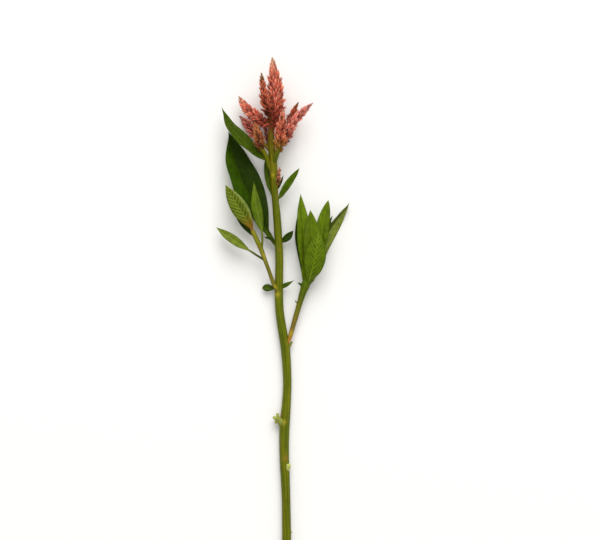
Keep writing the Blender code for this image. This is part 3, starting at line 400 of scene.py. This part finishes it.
def loft(rings, ends=None):
    """Closed rings of points joined into one skin: the points, with one at each end, and the faces."""
    rows, size = rings.shape[:2]
    if ends is None:
        ends = rings[[0, -1]].mean(axis=1)
    points = np.concatenate([rings.reshape(-1, 3), ends])
    grid = np.arange(rows * size).reshape(rows, size)
    beside = np.roll(grid, -1, axis=1)
    quads = np.stack([grid[:-1], beside[:-1], beside[1:], grid[1:]], axis=-1).reshape(-1, 4)
    foot = np.stack([beside[0], grid[0], np.full(size, rows * size)], axis=-1)
    head = np.stack([grid[-1], beside[-1], np.full(size, rows * size + 1)], axis=-1)
    tris = np.concatenate([foot, head])
    halves = np.concatenate([quads[:, :3], quads[:, [0, 2, 3]], tris])
    corners = points[halves] - points.mean(axis=0)
    if np.linalg.det(corners).sum() < 0:
        quads, tris = quads[:, ::-1], tris[:, ::-1]
    return points, quads, tris


class Shell:
    """Skins and the values on their points, gathered into one mesh."""

    def __init__(self):
        self.skins, self.count = [], 0

    def add(self, points, quads, tris, **values):
        """Adds a skin. Each value is one number, or one for each point."""
        size = len(points)
        values = {key: np.broadcast_to(v, (size, *np.shape(v)[1:])) for key, v in values.items()}
        self.skins.append((points, quads + self.count, tris + self.count, values))
        self.count += size

    def add_loft(self, rings, **values):
        """Adds lofted rings. Each value is one number, one for each ring, or one for each point."""
        for name, value in values.items():
            value = np.asarray(value, float)
            tail = value.shape[2:]
            value = value.reshape(value.shape + (1,) * (2 - value.ndim))
            full = np.broadcast_to(value, rings.shape[:2] + tail)
            values[name] = np.concatenate([full.reshape(-1, *tail), full[[0, -1], 0]])
        self.add(*loft(rings), **values)

    def joined(self):
        """The points, the faces and the values of all the skins."""
        *parts, values = zip(*self.skins)
        return *map(np.concatenate, parts), {k: np.concatenate([v[k] for v in values]) for k in values[0]}

    def finish(self, name, node, slot, material):
        """The piece that stands for a node, with its values as attributes of its points."""
        points, quads, tris, values = self.joined()
        mesh = bpy.data.meshes.new(name)
        mesh.from_pydata((points * MM).tolist(), [], quads.tolist() + tris.tolist())
        for key, value in values.items():
            kind, field = ("FLOAT_VECTOR", "vector") if value.ndim == 2 else ("FLOAT", "value")
            mesh.attributes.new(key, kind, "POINT").data.foreach_set(field, np.float32(value).ravel())
        mesh.materials.append(material)
        mesh.shade_smooth()
        piece = in_scene(name, mesh)
        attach(piece, "root")
        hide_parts(node)


# Materials


class Nodes:
    """Short names for the shader nodes that the finishes are built from."""

    def __init__(self, name, roughness, specular):
        self.material = bpy.data.materials.new(name)
        self.material.use_nodes = True
        self.tree = self.material.node_tree
        self.surface = self.tree.nodes["Principled BSDF"]
        self.surface.inputs["Roughness"].default_value = roughness
        self.surface.inputs["Specular IOR Level"].default_value = specular

    def add(self, kind, inputs, **settings):
        """A new node with these inputs and settings."""
        node = self.tree.nodes.new("ShaderNode" + kind)
        for name, value in settings.items():
            setattr(node, name, value)
        for key, value in inputs.items():
            self.set(node.inputs[key], value)
        return node

    def set(self, socket, value):
        """Links the socket to a node's output, or sets a plain number or colour on it."""
        if isinstance(value, bpy.types.NodeSocket):
            self.tree.links.new(value, socket)
        else:
            socket.default_value = value

    def value(self, name, output="Fac"):
        return self.add("Attribute", {}, attribute_name=name).outputs[output]

    def math(self, operation, a, b=0):
        return self.add("Math", {0: a, 1: b}, operation=operation).outputs[0]

    def times(self, a, b):
        return self.math("MULTIPLY", a, b)

    def mix(self, share, a, b, blend="MIX"):
        """Colour a, with colour b over it by this share. Sockets 6 and 7 are the node's two colours."""
        inputs = {"Factor": share, 6: a, 7: b}
        return self.add("Mix", inputs, data_type="RGBA", blend_type=blend).outputs[2]

    def over(self, colour, share, strength, other):
        """The other colour over this one, by a share from 0 to 1 times a strength."""
        return self.mix(self.times(share, strength), colour, other)

    def scaled(self, vector, scale):
        return self.add("Mapping", {"Vector": vector, "Scale": scale}).outputs["Vector"]

    def noise(self, vector, scale, detail=3):
        inputs = {"Vector": vector, "Scale": scale, "Detail": detail, "Roughness": 0.55}
        return self.add("TexNoise", inputs).outputs["Fac"]

    def ramp(self, value, *stops):
        """Colours by a value, from stops of place and colour."""
        node = self.add("ValToRGB", {"Fac": value})
        elements = node.color_ramp.elements
        while len(elements) < len(stops):
            elements.new(0.5)
        for element, (place, colour) in zip(elements, stops):
            element.position = place
            element.color = colour
        return node.outputs["Color"]

    def between(self, value, low, high):
        """0 at low, 1 at high, and eased between them."""
        inputs = {"Value": value, "From Min": low, "From Max": high}
        return self.add("MapRange", inputs, interpolation_type="SMOOTHSTEP").outputs["Result"]

    def done(self, colour, height, distance, strength):
        """Gives the surface its colour and its fine relief."""
        bump = self.add("Bump", {"Strength": strength, "Distance": distance, "Height": height})
        self.set(self.surface.inputs["Normal"], bump.outputs["Normal"])
        self.set(self.surface.inputs["Base Color"], colour)
        return self.material


def stem_material(node):
    """Green stem skin with lengthwise furrows, marks at the joints and pale broken ends."""
    n = Nodes(node + "_skin", roughness=0.5, specular=0.12)
    skin = n.value("skin", "Vector")
    streaks = n.noise(n.scaled(skin, (1, 1, 0.03)), 0.8, detail=4)
    fine = n.noise(n.scaled(skin, (1, 1, 0.12)), 3.6)
    patches = n.noise(n.scaled(skin, (0.5, 0.5, 1)), 0.07)
    colour = n.ramp(n.value("along"), *((place, display(paint)) for place, paint in STEM_PAINTS[node]))
    tints = n.ramp(streaks, (0.38, GREENER), (0.5, WHITE), (0.62, YELLOWER))
    colour = n.mix(1, colour, tints, "MULTIPLY")
    shade = n.mix(n.between(fine, 0.42, 0.7), WHITE, SHADED)
    colour = n.mix(n.between(patches, 0.35, 0.65), colour, n.mix(1, colour, shade, "MULTIPLY"))
    spots = n.between(n.noise(skin, 0.9, detail=2), 0.2, 0.6)
    colour = n.over(colour, n.value("yellow"), 0.85, display(MARK_YELLOW))
    colour = n.over(colour, n.times(n.value("brown"), spots), 0.9, display(MARK_BROWN))
    fibres = n.between(n.noise(skin, 2.2), 0.35, 0.7)
    colour = n.mix(n.value("cut"), colour, n.mix(n.times(fibres, 0.5), display(PITH), colour))
    relief = n.math("ADD", n.times(streaks, 0.8), n.times(fine, 0.3))
    return n.done(colour, relief, distance=0.35 * MM, strength=0.7)


def leaf_material(name, specular, gap, arch, upper, vein, stalk, under):
    """A leaf's two sides, with its veins, the small cells between them and uneven colour."""
    n = Nodes(name, roughness=0.44, specular=specular)
    flat = n.value("flat", "Vector")
    out, along = n.add("SeparateXYZ", {0: flat}).outputs[:2]
    far = n.math("ABSOLUTE", out)
    bow = n.times(n.times(far, far), arch)
    phase = n.math("SUBTRACT", along, n.math("ADD", n.times(far, 1 / math.tan(VEIN_ANGLE)), bow))
    phase = n.math("ADD", n.math("DIVIDE", phase, gap), n.times(n.math("SIGN", out), VEIN_SHIFT))
    near = n.times(n.math("PINGPONG", phase, 0.5), gap * math.sin(VEIN_ANGLE))
    lines = n.times(n.between(near, VEIN_WIDTH * gap, 0.2 * VEIN_WIDTH * gap), n.value("vein"))
    lines = n.times(lines, n.between(n.noise(flat, 0.5), 0.1, 0.5))
    cells = n.add("TexVoronoi", {"Vector": flat, "Scale": 0.85}, feature="DISTANCE_TO_EDGE")
    walls = n.between(cells.outputs["Distance"], 0.14, 0.02)
    fine = n.noise(flat, 2.2)
    clouds = n.mix(n.between(n.noise(flat, 0.24), 0.3, 0.7), DIM_LEAF, BRIGHT_LEAF)
    colour = n.mix(n.value("under"), upper, under)
    colour = n.mix(n.value("pale"), colour, under)
    colour = n.mix(1, colour, clouds, "MULTIPLY")
    # Painted light and shade: each half of the blade made brighter or darker for how it faces the light
    colour = n.mix(1, colour, n.value("light"), "MULTIPLY")
    colour = n.over(colour, n.between(fine, 0.4, 0.75), 0.2, vein)
    colour = n.over(colour, walls, 0.24, vein)
    colour = n.mix(lines, colour, vein)
    colour = n.mix(n.value("rib"), colour, vein)
    colour = n.mix(n.value("foot"), colour, stalk)
    relief = n.math("SUBTRACT", n.times(fine, 0.35), n.times(walls, 0.5))
    relief = n.math("SUBTRACT", relief, lines)
    return n.done(colour, relief, distance=0.14 * MM, strength=0.7)


def floret_material(name, foot, middle, point, young, old):
    """Papery tepals, deep at the foot, partly their own colour and partly painted shade, and pale at the
    edges and the point.
    """
    n = Nodes(name, roughness=0.5, specular=0.07)
    n.surface.inputs["Sheen Weight"].default_value = 0.05
    n.surface.inputs["Sheen Roughness"].default_value = 0.4
    grain = n.noise(n.value("grain", "Vector"), 1)
    rise = n.value("rise")
    # The deep foot is partly the tepals' own colour and partly painted shade where the florets crowd
    colour = n.ramp(n.value("tip"), (0.27, foot), (0.54, middle), (0.68, middle), (0.94, point))
    colour = n.over(colour, n.value("edge"), 0.6, point)
    colour = n.over(colour, n.between(rise, 0.6, 0.96), 0.8, young)
    colour = n.over(colour, n.between(rise, 0.28, -0.04), 0.8, old)
    tone = n.ramp(n.value("tone"), (0, DIM_FLORET), (0.5, WHITE), (1, BRIGHT_FLORET))
    colour = n.mix(1, colour, tone, "MULTIPLY")
    colour = n.over(colour, n.between(grain, 0.45, 0.7), 0.2, point)
    return n.done(colour, grain, distance=0.15 * MM, strength=0.5)


# The stem, its side shoots and the flower stalks


def round_rings(path, shares, sides, ridges=(), seed=0):
    """Rings round a path, with low ridges, and their angles."""
    places = path.at(shares)
    along, side, face = path.frames(shares)
    angles = np.linspace(0, 2 * math.pi, sides, endpoint=False)
    draw = np.random.default_rng(seed)
    relief = np.ones((len(shares), sides))
    for count, depth in ridges:
        turn, drift = draw.uniform(0, 2 * math.pi), draw.uniform(*RIDGE_DRIFT)
        phase = turn + drift * np.sin(2 * math.pi * shares * draw.uniform(*RIDGE_SWINGS))
        relief += depth * np.cos(count * angles + phase[:, None])
    radius = places[:, 3, None] * relief
    spokes = side[:, None] * np.cos(angles)[:, None] + face[:, None] * np.sin(angles)[:, None]
    return places[:, None, :3] + spokes * radius[..., None], angles


def skin_values(rings, path, shares, angles):
    """Each point's place on the unrolled skin, for streaks that run lengthwise."""
    radius = path.at(shares)[:, 3, None]
    rows = np.broadcast_to((shares * path.length)[:, None], rings.shape[:2])
    return np.stack([np.cos(angles) * radius, np.sin(angles) * radius, rows], axis=-1)


def closing_rings(rim, outward, bulge, ragged, draw):
    """Smaller and smaller rings inside a rim, for a rounded edge and a cut or broken face."""
    rise = bulge * FACE_RISE
    middle = rim.mean(axis=0)
    rings = middle + (rim - middle) * FACE_SHARES[:, None, None] + outward * rise[:, None, None]
    inside = FACE_SHARES < FACE_SHARES[0]
    rough = draw.normal(0, ragged, rings.shape[:2]) * inside[:, None]
    return rings + outward * rough[..., None]


def add_stem(shell, points, sides, ridges, seed, marks=None, cut=False, broken=None, colours=(0, 1)):
    """One length of stem with its marks and finished ends, in a part of the stem's range of colours."""
    path = Path(points)
    shares = np.linspace(0, 1, max(int(path.length * RINGS_BY_MM), LEAST_RINGS))
    rings, angles = round_rings(path, shares, sides, ridges, seed)
    plain = np.zeros(rings.shape[:2])
    values = dict(skin=skin_values(rings, path, shares, angles))
    for colour in ("brown", "yellow"):
        values[colour] = plain
        for y, angle, size in marks[colour] if marks else ():
            turn = np.angle(np.exp(1j * (angles - math.radians(angle))))
            across = turn * path.at(shares)[:, 3, None]
            far = ((rings[..., 1] - y) / (0.5 * size)) ** 2 + (across / (0.5 * size)) ** 2
            values[colour] = np.maximum(values[colour], np.exp(-far))
    values["along"] = plain + np.interp(shares, (0, 1), colours)[:, None]
    pale, ragged = broken or (0, 0)
    values["cut"] = plain + pale * smooth_step(PALE_FROM, PALE_TO, shares)[:, None]
    along, draw = path.frames([0, 1])[0], np.random.default_rng(seed)
    if cut:
        face = closing_rings(rings[0], -along[0], CUT_BULGE, CUT_RAGGED, draw)[::-1]
        rings, values = lengthened(face, rings, values, 1, 0)
    if broken:
        face = closing_rings(rings[-1], along[1], BREAK_BULGE, ragged, draw)
        rings, values = lengthened(face, rings, values, max(pale, LEAST_BREAK_PALE), -1)
    rings[..., 2] = np.maximum(rings[..., 2], LOWEST)
    shell.add_loft(rings, **values)


def lengthened(face, rings, values, pale, end):
    """The rings with those of an end face before or after them, and their values carried on."""
    longer = {}
    for name, value in values.items():
        more = np.repeat(value[[end]], len(face), axis=0)
        more = np.full_like(more, pale) if name == "cut" else more
        longer[name] = np.concatenate([more, value] if end == 0 else [value, more])
    return np.concatenate([face, rings] if end == 0 else [rings, face]), longer


def buried(foot):
    """A point inside the stem, a little below the foot of a stalk that grows out of it."""
    low = foot[1] - SINK * foot[3]
    stem = np.array(STEM_POINTS)
    return (*(np.interp(low, stem[:, 1], stem[:, column]) for column in (0, 1, 2)), foot[3] * SUNK_TAPER)


def build_stem():
    """The main stem with its stubs and scars, and the stalks that carry the spikes."""
    shell = Shell()
    tip = [(*Path(SPIKES["spike_top"]["axis"]).at(STEM_INSIDE)[0], STEM_TIP_RADIUS)]
    add_stem(shell, STEM_POINTS + tip, STEM_SIDES, RIDGES, STEM_SEED, MARKS["main_stem"], cut=True)
    for seed, (foot, end, *broken) in enumerate(STUBS, STUB_SEED):
        points = [buried(foot), foot, end]
        add_stem(shell, points, STALK_SIDES, RIDGES, seed, broken=broken, colours=STUB_COLOURS)
    for seed, name in enumerate(SPIKES, STALK_SEED):
        spike = USUAL_SPIKE | SPIKES[name]
        if "stalk" in spike:
            radius, axis = spike["stalk_radius"], spike["axis"]
            points = [(*point, radius) for point in (*spike["stalk"], axis[0])]
            inside = (*Path(axis).at(STALK_INSIDE)[0], radius * STALK_TIP_TAPER)
            points = [buried(points[0]), *points, inside]
            add_stem(shell, points, STALK_SIDES, RIDGES[:2], seed, colours=spike["stalk_colours"])
    shell.finish("stem_with_stalks", "main_stem", "stem", stem_material("main_stem"))


def build_shoot(node, seed):
    """A side shoot's stem, from inside the main stem to its last leaf, and its bud."""
    shell, points = Shell(), SHOOTS[node]
    (*before, _), (*last, radius) = points[-2:]
    ahead = np.array(last) + unit(np.subtract(last, before)) * SHOOT_END
    points = [buried(points[0])] + points + [(*ahead, radius * SHOOT_END_TAPER)]
    add_stem(shell, points, SHOOT_SIDES, RIDGES[:2], seed, MARKS[node])
    if node in BUDS:
        add_stem(shell, BUDS[node], STALK_SIDES, RIDGES[:1], seed + BUD_SEED_STEP, colours=STUB_COLOURS)
    shell.finish(node + "_stalk", node, "shoot", stem_material(node))


# The spikes


def envelope(name, share):
    """The radius over the floret tips at this share of the spike, as a share of the largest."""
    spike = USUAL_SPIKE | SPIKES[name]
    rising = 1 - FOOT_NARROWING * (1 - share / SHOULDER) ** 2
    falling = np.maximum((1 - share) / (1 - SHOULDER), 0) ** spike["taper"]
    return np.where(share > SHOULDER, falling, rising) * spike["full"]


def tepal(azimuth, length, openness, recurve, foot):
    """One pointed tepal wrapped round the floret's axis, as a thin closed body.

    Also gives how far along the tepal each point is, and whether it is on an edge.
    """
    s = TEPAL_STATIONS
    half = TEPAL_HALF_WIDTH * np.sin(math.pi * s**0.75) ** 0.85
    bud = BUD_RADIUS * np.sin(math.pi * np.minimum(s, 0.999) ** 0.7) ** 0.8
    out = foot + bud * (1 - BUD_FLATTENING * openness) + openness * OPENING * s**1.3 + recurve * s**3
    wrap = np.minimum(half / out, WIDEST_WRAP)
    height = length * (1 - OPEN_SHORTENING * openness)
    corners = []
    for turn, shift in ((-1, -TEPAL_EDGE), (0, TEPAL_THICKNESS), (1, TEPAL_EDGE), (0, -TEPAL_THICKNESS)):
        x, y = np.sin(turn * wrap) * (out + shift), np.cos(turn * wrap) * (out + shift)
        corners.append(np.stack([x, y, s * height], axis=-1))
    rings = np.stack(corners, axis=1)
    ends = np.array([(0, foot, 0), (0, foot + openness * OPENING + recurve, height)])
    c, q = math.cos(azimuth), math.sin(azimuth)
    spin = np.array([[c, q, 0], [-q, c, 0], [0, 0, 1]])
    return *loft(rings @ spin, ends @ spin), [*np.repeat(s, 4), 0, 1], [*np.tile([1, 0, 1, 0], len(s)), 0, 1]


def floret_kind(draw, openness):
    """A floret of length 1 that points along +Z: its tepals, then the short bracts under them."""
    shell = Shell()
    for k in range(TEPALS + BRACTS):
        bract = k >= TEPALS
        azimuth = 2 * math.pi * ((k - TEPALS) / BRACTS + BRACT_TURN if bract else k / TEPALS)
        azimuth += draw.uniform(*TEPAL_TURNS)
        length = draw.uniform(*TEPAL_LENGTHS) * (BRACT_LENGTH if bract else 1)
        spreading = openness * draw.uniform(*TEPAL_SPREADS) + BRACT_OPENING * bract
        recurve = draw.uniform(*TEPAL_RECURVES) * openness
        *skin, tip, edge = tepal(azimuth, length, spreading, recurve, FOOT_RADIUS * (1 + bract))
        shift = draw.uniform(*TEPAL_TONES) - BRACT_DARKENING * bract
        shell.add(*skin, tip=tip, edge=edge, shift=shift)
    return shell.joined()


def crowded(tips, own, paths):
    """Whether each floret tip reaches past its own spike's side of a neighbour."""
    def nearness(name):
        shares = np.linspace(0, 1, NEIGHBOUR_STATIONS)
        gaps = np.linalg.norm(tips[:, None] - paths[name].at(shares)[:, :3], axis=-1)
        outline = np.maximum(envelope(name, shares[gaps.argmin(axis=1)]), LEAST_OUTLINE)
        return gaps.min(axis=1) / (outline * SPIKES[name]["radius"])

    limit = nearness(own) + CLEAR_OF_NEIGHBOURS
    return np.any([nearness(name) < limit for name in paths if name != own], axis=0)


def build_spike(name, paths, kinds):
    """A slim core and the florets on its spiral, smaller and closer together towards the tip."""
    spike, path = USUAL_SPIKE | SPIKES[name], paths[name]
    radius, first = spike["radius"], spike["first"]
    draw = np.random.default_rng(sum(map(ord, name)))
    count = max(int(FLORETS_BY_AREA * path.length * radius), LEAST_FLORETS)
    k = np.arange(count)
    share = first + (LAST_FLORET - first) * k / count
    along, side, face = path.frames(share)
    centre = path.at(share)[:, :3] + along * (np.minimum(share, 0) * path.length)[:, None]
    angle = k * GOLDEN_ANGLE + draw.uniform(*FLORET_TURNS, count)
    outward = side * np.cos(angle)[:, None] + face * np.sin(angle)[:, None]
    spread_out = SPREAD_AT_FOOT + (SPREAD_AT_TIP - SPREAD_AT_FOOT) * np.maximum(share, 0) ** SPREAD_EASE
    spread_out *= draw.uniform(*FLORET_SPREADS, count)
    pointing = along * np.cos(spread_out)[:, None] + outward * np.sin(spread_out)[:, None]
    core = CORE_SHARE * radius * envelope(name, share) * ROOT_SHARE
    root = centre + outward * core[:, None]
    outer = radius * draw.uniform(*FLORET_REACHES, count)
    length = np.full(count, radius)
    for _ in range(REACH_TRIES):
        ends_at = np.minimum(share + length * np.cos(spread_out) / path.length, 1)
        fits = (outer * envelope(name, ends_at) - core) / np.sin(spread_out)
        length = np.maximum((length + fits) / 2, spike["least_floret"])
    length *= 1 - FOOT_SHORTENING * smooth_step(SHORT_BELOW, first, share)
    for _ in range(SHORTENING_TRIES):
        tight = crowded(root + pointing * length[:, None], name, paths)
        length = np.where(tight, length * SHORTENING, length)
    kept = ~crowded(root + pointing * length[:, None], name, paths) | (share < ALWAYS_KEPT)

    shell = Shell()
    rows = np.linspace(0, 1, CORE_RINGS)
    core_radius = np.maximum(CORE_SHARE * radius * envelope(name, rows), LEAST_CORE)
    core_path = Path(np.column_stack([path.at(rows)[:, :3], core_radius]))
    rings, angles = round_rings(core_path, rows, CORE_SIDES)
    grain = skin_values(rings, core_path, rows, angles)
    shell.add_loft(rings, tip=0, edge=0, rise=rows, tone=0, grain=grain)
    across = unit(np.cross(pointing, along))
    lift = np.cross(across, pointing)
    for i in np.flatnonzero(kept):
        openness = draw.uniform() * (1 - smooth_step(CLOSING, CLOSED, share[i]))
        points, quads, tris, values = kinds[min(int(openness * FLORET_KINDS), FLORET_KINDS - 1)]
        spin = draw.uniform(0, 2 * math.pi)
        x, y, high = points.T
        x, y = x * math.cos(spin) - y * math.sin(spin), x * math.sin(spin) + y * math.cos(spin)
        curve = draw.uniform(*FLORET_CURVES) * high**2
        local = x[:, None] * across[i] + (y + curve)[:, None] * lift[i] + high[:, None] * pointing[i]
        placed = root[i] + local * length[i]
        placed[:, 2] = np.maximum(placed[:, 2], LOWEST_FLORET)
        tone = np.clip(draw.normal(FLORET_TONE, FLORET_TONE_SPREAD) + values["shift"], 0, 1)
        grain = np.stack([x * GRAIN, y * GRAIN, high * 2 + i], axis=-1)
        tip, edge = values["tip"], values["edge"]
        shell.add(placed, quads, tris, tip=tip, edge=edge, rise=share[i], tone=tone, grain=grain)
    material = floret_material(name + "_papery", *map(display, FLORET_PAINTS[spike["paint"]]))
    shell.finish(name + "_florets", name, spike["slot"], material)


# The leaves


def build_leaf(name, seed):
    """A leaf with a round stalk, a groove over the midrib and puckers between the veins."""
    leaf = USUAL_LEAF | LEAVES[name]
    width, stalk, belly, fold, *roll = leaf["form"]
    path = Path(leaf["midrib"])
    draw = np.random.default_rng(seed)
    steps = int(np.clip(width * STEPS_BY_MM, LEAST_STEPS, MOST_STEPS))
    rows = int(np.clip(path.length * ROWS_BY_MM, LEAST_ROWS, MOST_ROWS))
    share = np.linspace(0, 1, rows)
    places = path.at(share)[:, :3]
    along, side, face = path.frames(share)
    share, t = share[:, None], np.linspace(0, 1, steps + 1)[None]

    blade = np.clip((share - stalk) / (1 - stalk), 0, BLADE_END)
    slender = min(width / RIB_LEAF_WIDTH, 1) ** 0.5
    rib = RIB_RADIUS * leaf["rib"] * (1 - RIB_TAPER * share) * slender
    rise, fall = SHARPNESS * belly, SHARPNESS * (1 - belly)
    half = width / 2 * (blade**rise * (1 - blade) ** fall / (belly**rise * (1 - belly) ** fall))
    half = np.maximum(half, np.where(share < belly, rib, LEAST_HALF_WIDTH))
    winged = smooth_step(WING_FROM, WING_FULL, share) * (1 - smooth_step(WING_FULL, WING_TO, share))
    half = np.maximum(half, leaf["wing"] * winged)
    roll = np.radians(roll[0] + (roll[1] - roll[0]) * share)
    side, face = side * np.cos(roll) + face * np.sin(roll), face * np.cos(roll) - side * np.sin(roll)

    breadth = np.minimum(half / max(abs(fold) / FOLD_PER_MM, LEAST_FOLD_WIDTH), 1)
    bend = np.radians(fold * breadth + math.copysign(CURL, fold) * (1 - 2 * t))
    bend_mid = (bend[:, 1:] + bend[:, :-1]) / 2
    turns = (np.cumsum(turn(bend_mid), axis=1) for turn in (np.cos, np.sin))
    reach, climb = (np.pad(turn, ((0, 0), (1, 0))) * half / steps for turn in turns)
    out = t * half
    thin = BLADE_HALF_THICKNESS * np.sqrt(np.clip(1 - t**6, 0, 1))
    bulge = np.sqrt(np.clip(rib**2 - out**2, 0, None))
    is_blade = smooth_step(BLADE_FROM, BLADE_FULL, blade)

    gap = leaf.get("vein_gap", VEIN_GAP if width > RIB_LEAF_WIDTH else NARROW_VEIN_GAP)
    arch, turned = leaf["arch"], leaf["turned"]
    pucker = PUCKER * min(width / PUCKER_LEAF_WIDTH, 1)
    veined = is_blade * (1 - smooth_step(VEINS_END, 1, t))
    sides = []
    for sign in (-1, 1):
        along_vein = share * path.length - out / math.tan(VEIN_ANGLE) - arch * out**2
        phase = along_vein / gap + sign * VEIN_SHIFT
        swell = (1 - np.cos(2 * math.pi * phase)) / 2
        sway = np.sin(2 * math.pi * WAVES * share + (WAVE_SHIFT if sign > 0 else 0))
        height = leaf["wave"] * sway * t**2 * breadth
        height = height + pucker * swell * np.sin(math.pi * t**0.8) * is_blade
        height = height + draw.normal(0, JITTER) * t
        above = np.maximum(thin, bulge * (1 - (1 - RIB_ABOVE) * is_blade))
        below = np.maximum(thin, bulge)
        if turned:
            above, below = below, np.maximum(thin, bulge * RIB_ABOVE_TURNED)
        else:
            groove = GROOVE_DEPTH * np.exp(-((out / GROOVE_WIDTH) ** 2))
            above = above - groove * is_blade * rib
        normal = face[:, None] * np.cos(bend)[..., None] - side[:, None] * sign * np.sin(bend)[..., None]
        place = places[:, None] + side[:, None] * (sign * reach)[..., None] + face[:, None] * climb[..., None]
        place = place + normal * height[..., None]
        sides.append((place + normal * above[..., None], place - normal * below[..., None]))

    (up_left, low_left), (up_right, low_right) = sides
    rings = around(up_left, up_right, low_right, low_left)
    rings[..., 2] = np.maximum(rings[..., 2], LOWEST)
    veins = around(veined, veined, veined, veined)
    across = around(-t, t, t, -t)
    lower = np.repeat([0, 1], [2 * steps + 1, 2 * steps - 1])
    signed_out = across * half
    # Each half's brightness, as painted light and shade for how that half faces the light
    left, right = leaf["halves"]
    *band, band_strength = leaf["band"]
    whole = np.ones_like(signed_out)
    shell = Shell()
    shell.add_loft(
        rings,
        vein=veins * leaf["veins"],
        rib=np.exp(-((signed_out / (0.55 * rib + 0.12)) ** 2)) * (RIB_CLEAR - RIB_FADING * share),
        foot=1 - smooth_step(stalk * 0.5, stalk + leaf["foot_reach"], share),
        under=(1 - lower if turned else lower) * whole,
        pale=smooth_step(*band, across) * band_strength * is_blade,
        light=left + (right - left) * smooth_step(-HALVES_MEET, HALVES_MEET, across) * whole,
        flat=np.stack([signed_out, share * path.length * whole, (seed * 7 + lower * 3) * whole], axis=-1),
    )
    specular = DARK_SPECULAR if leaf["slot"] == "leaf_dark" else LEAF_SPECULAR
    paints = map(display, LEAF_PAINTS[leaf["paint"]])
    material = leaf_material(name + "_skin", specular, gap, arch, *paints)
    shell.finish(name + "_blade", name, leaf["slot"], material)


def around(up_left, up_right, low_right, low_left):
    """Columns of the four quarters of a leaf's section, in order round it from the left margin."""
    quarters = up_left[:, ::-1], up_right[:, 1:], low_right[:, -2::-1], low_left[:, 1:-1]
    return np.concatenate(quarters, axis=1)


# The stage


def build_stage():
    """A pale floor, light from all sides and from above, and a camera that looks straight down."""
    scene = bpy.context.scene
    x, y = (place * MM for place in VIEW_CENTRE)
    mesh = bpy.data.meshes.new("floor")
    r = FLOOR_REACH
    mesh.from_pydata([(-r, -r, 0), (r, -r, 0), (r, r, 0), (-r, r, 0)], [], [(0, 1, 2, 3)])
    paper = Nodes("floor_paper", roughness=0.9, specular=0.1)
    paper.surface.inputs["Base Color"].default_value = FLOOR_WHITE
    mesh.materials.append(paper.material)
    floor = in_scene("floor", mesh)

    world = bpy.data.worlds.new("studio")
    world.use_nodes = True
    background = world.node_tree.nodes["Background"]
    background.inputs["Color"].default_value = WHITE
    background.inputs["Strength"].default_value = WORLD_LIGHT
    scene.world = world

    light = bpy.data.lights.new("key", "AREA")
    light.shape = "DISK"
    light.size = KEY_SIZE
    light.energy = KEY_POWER
    key = in_scene("key", light)
    key.location = Vector((x, y, 0)) + Vector(KEY_PLACE)
    key.rotation_euler = Vector(KEY_PLACE).to_track_quat("Z", "Y").to_euler()

    camera = bpy.data.cameras.new("camera")
    camera.sensor_width = SENSOR_WIDTH
    camera.lens = SENSOR_WIDTH * CAMERA_HEIGHT / VIEW_WIDTH
    camera.clip_end = FAR_CLIP
    scene.camera = in_scene("camera", camera)
    scene.camera.location = (x, y, CAMERA_HEIGHT * MM)
    scene.view_settings.view_transform = "Standard"


def main():
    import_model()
    build_stage()
    build_stem()
    for seed, node in enumerate(SHOOTS, SHOOT_SEED):
        build_shoot(node, seed)
    paths = {name: Path(spike["axis"]) for name, spike in SPIKES.items()}
    draw = np.random.default_rng(FLORET_SEED)
    kinds = [floret_kind(draw, (k + 0.5) / FLORET_KINDS) for k in range(FLORET_KINDS)]
    for name in SPIKES:
        build_spike(name, paths, kinds)
    for seed, name in enumerate(LEAVES):
        build_leaf(name, seed)


main()
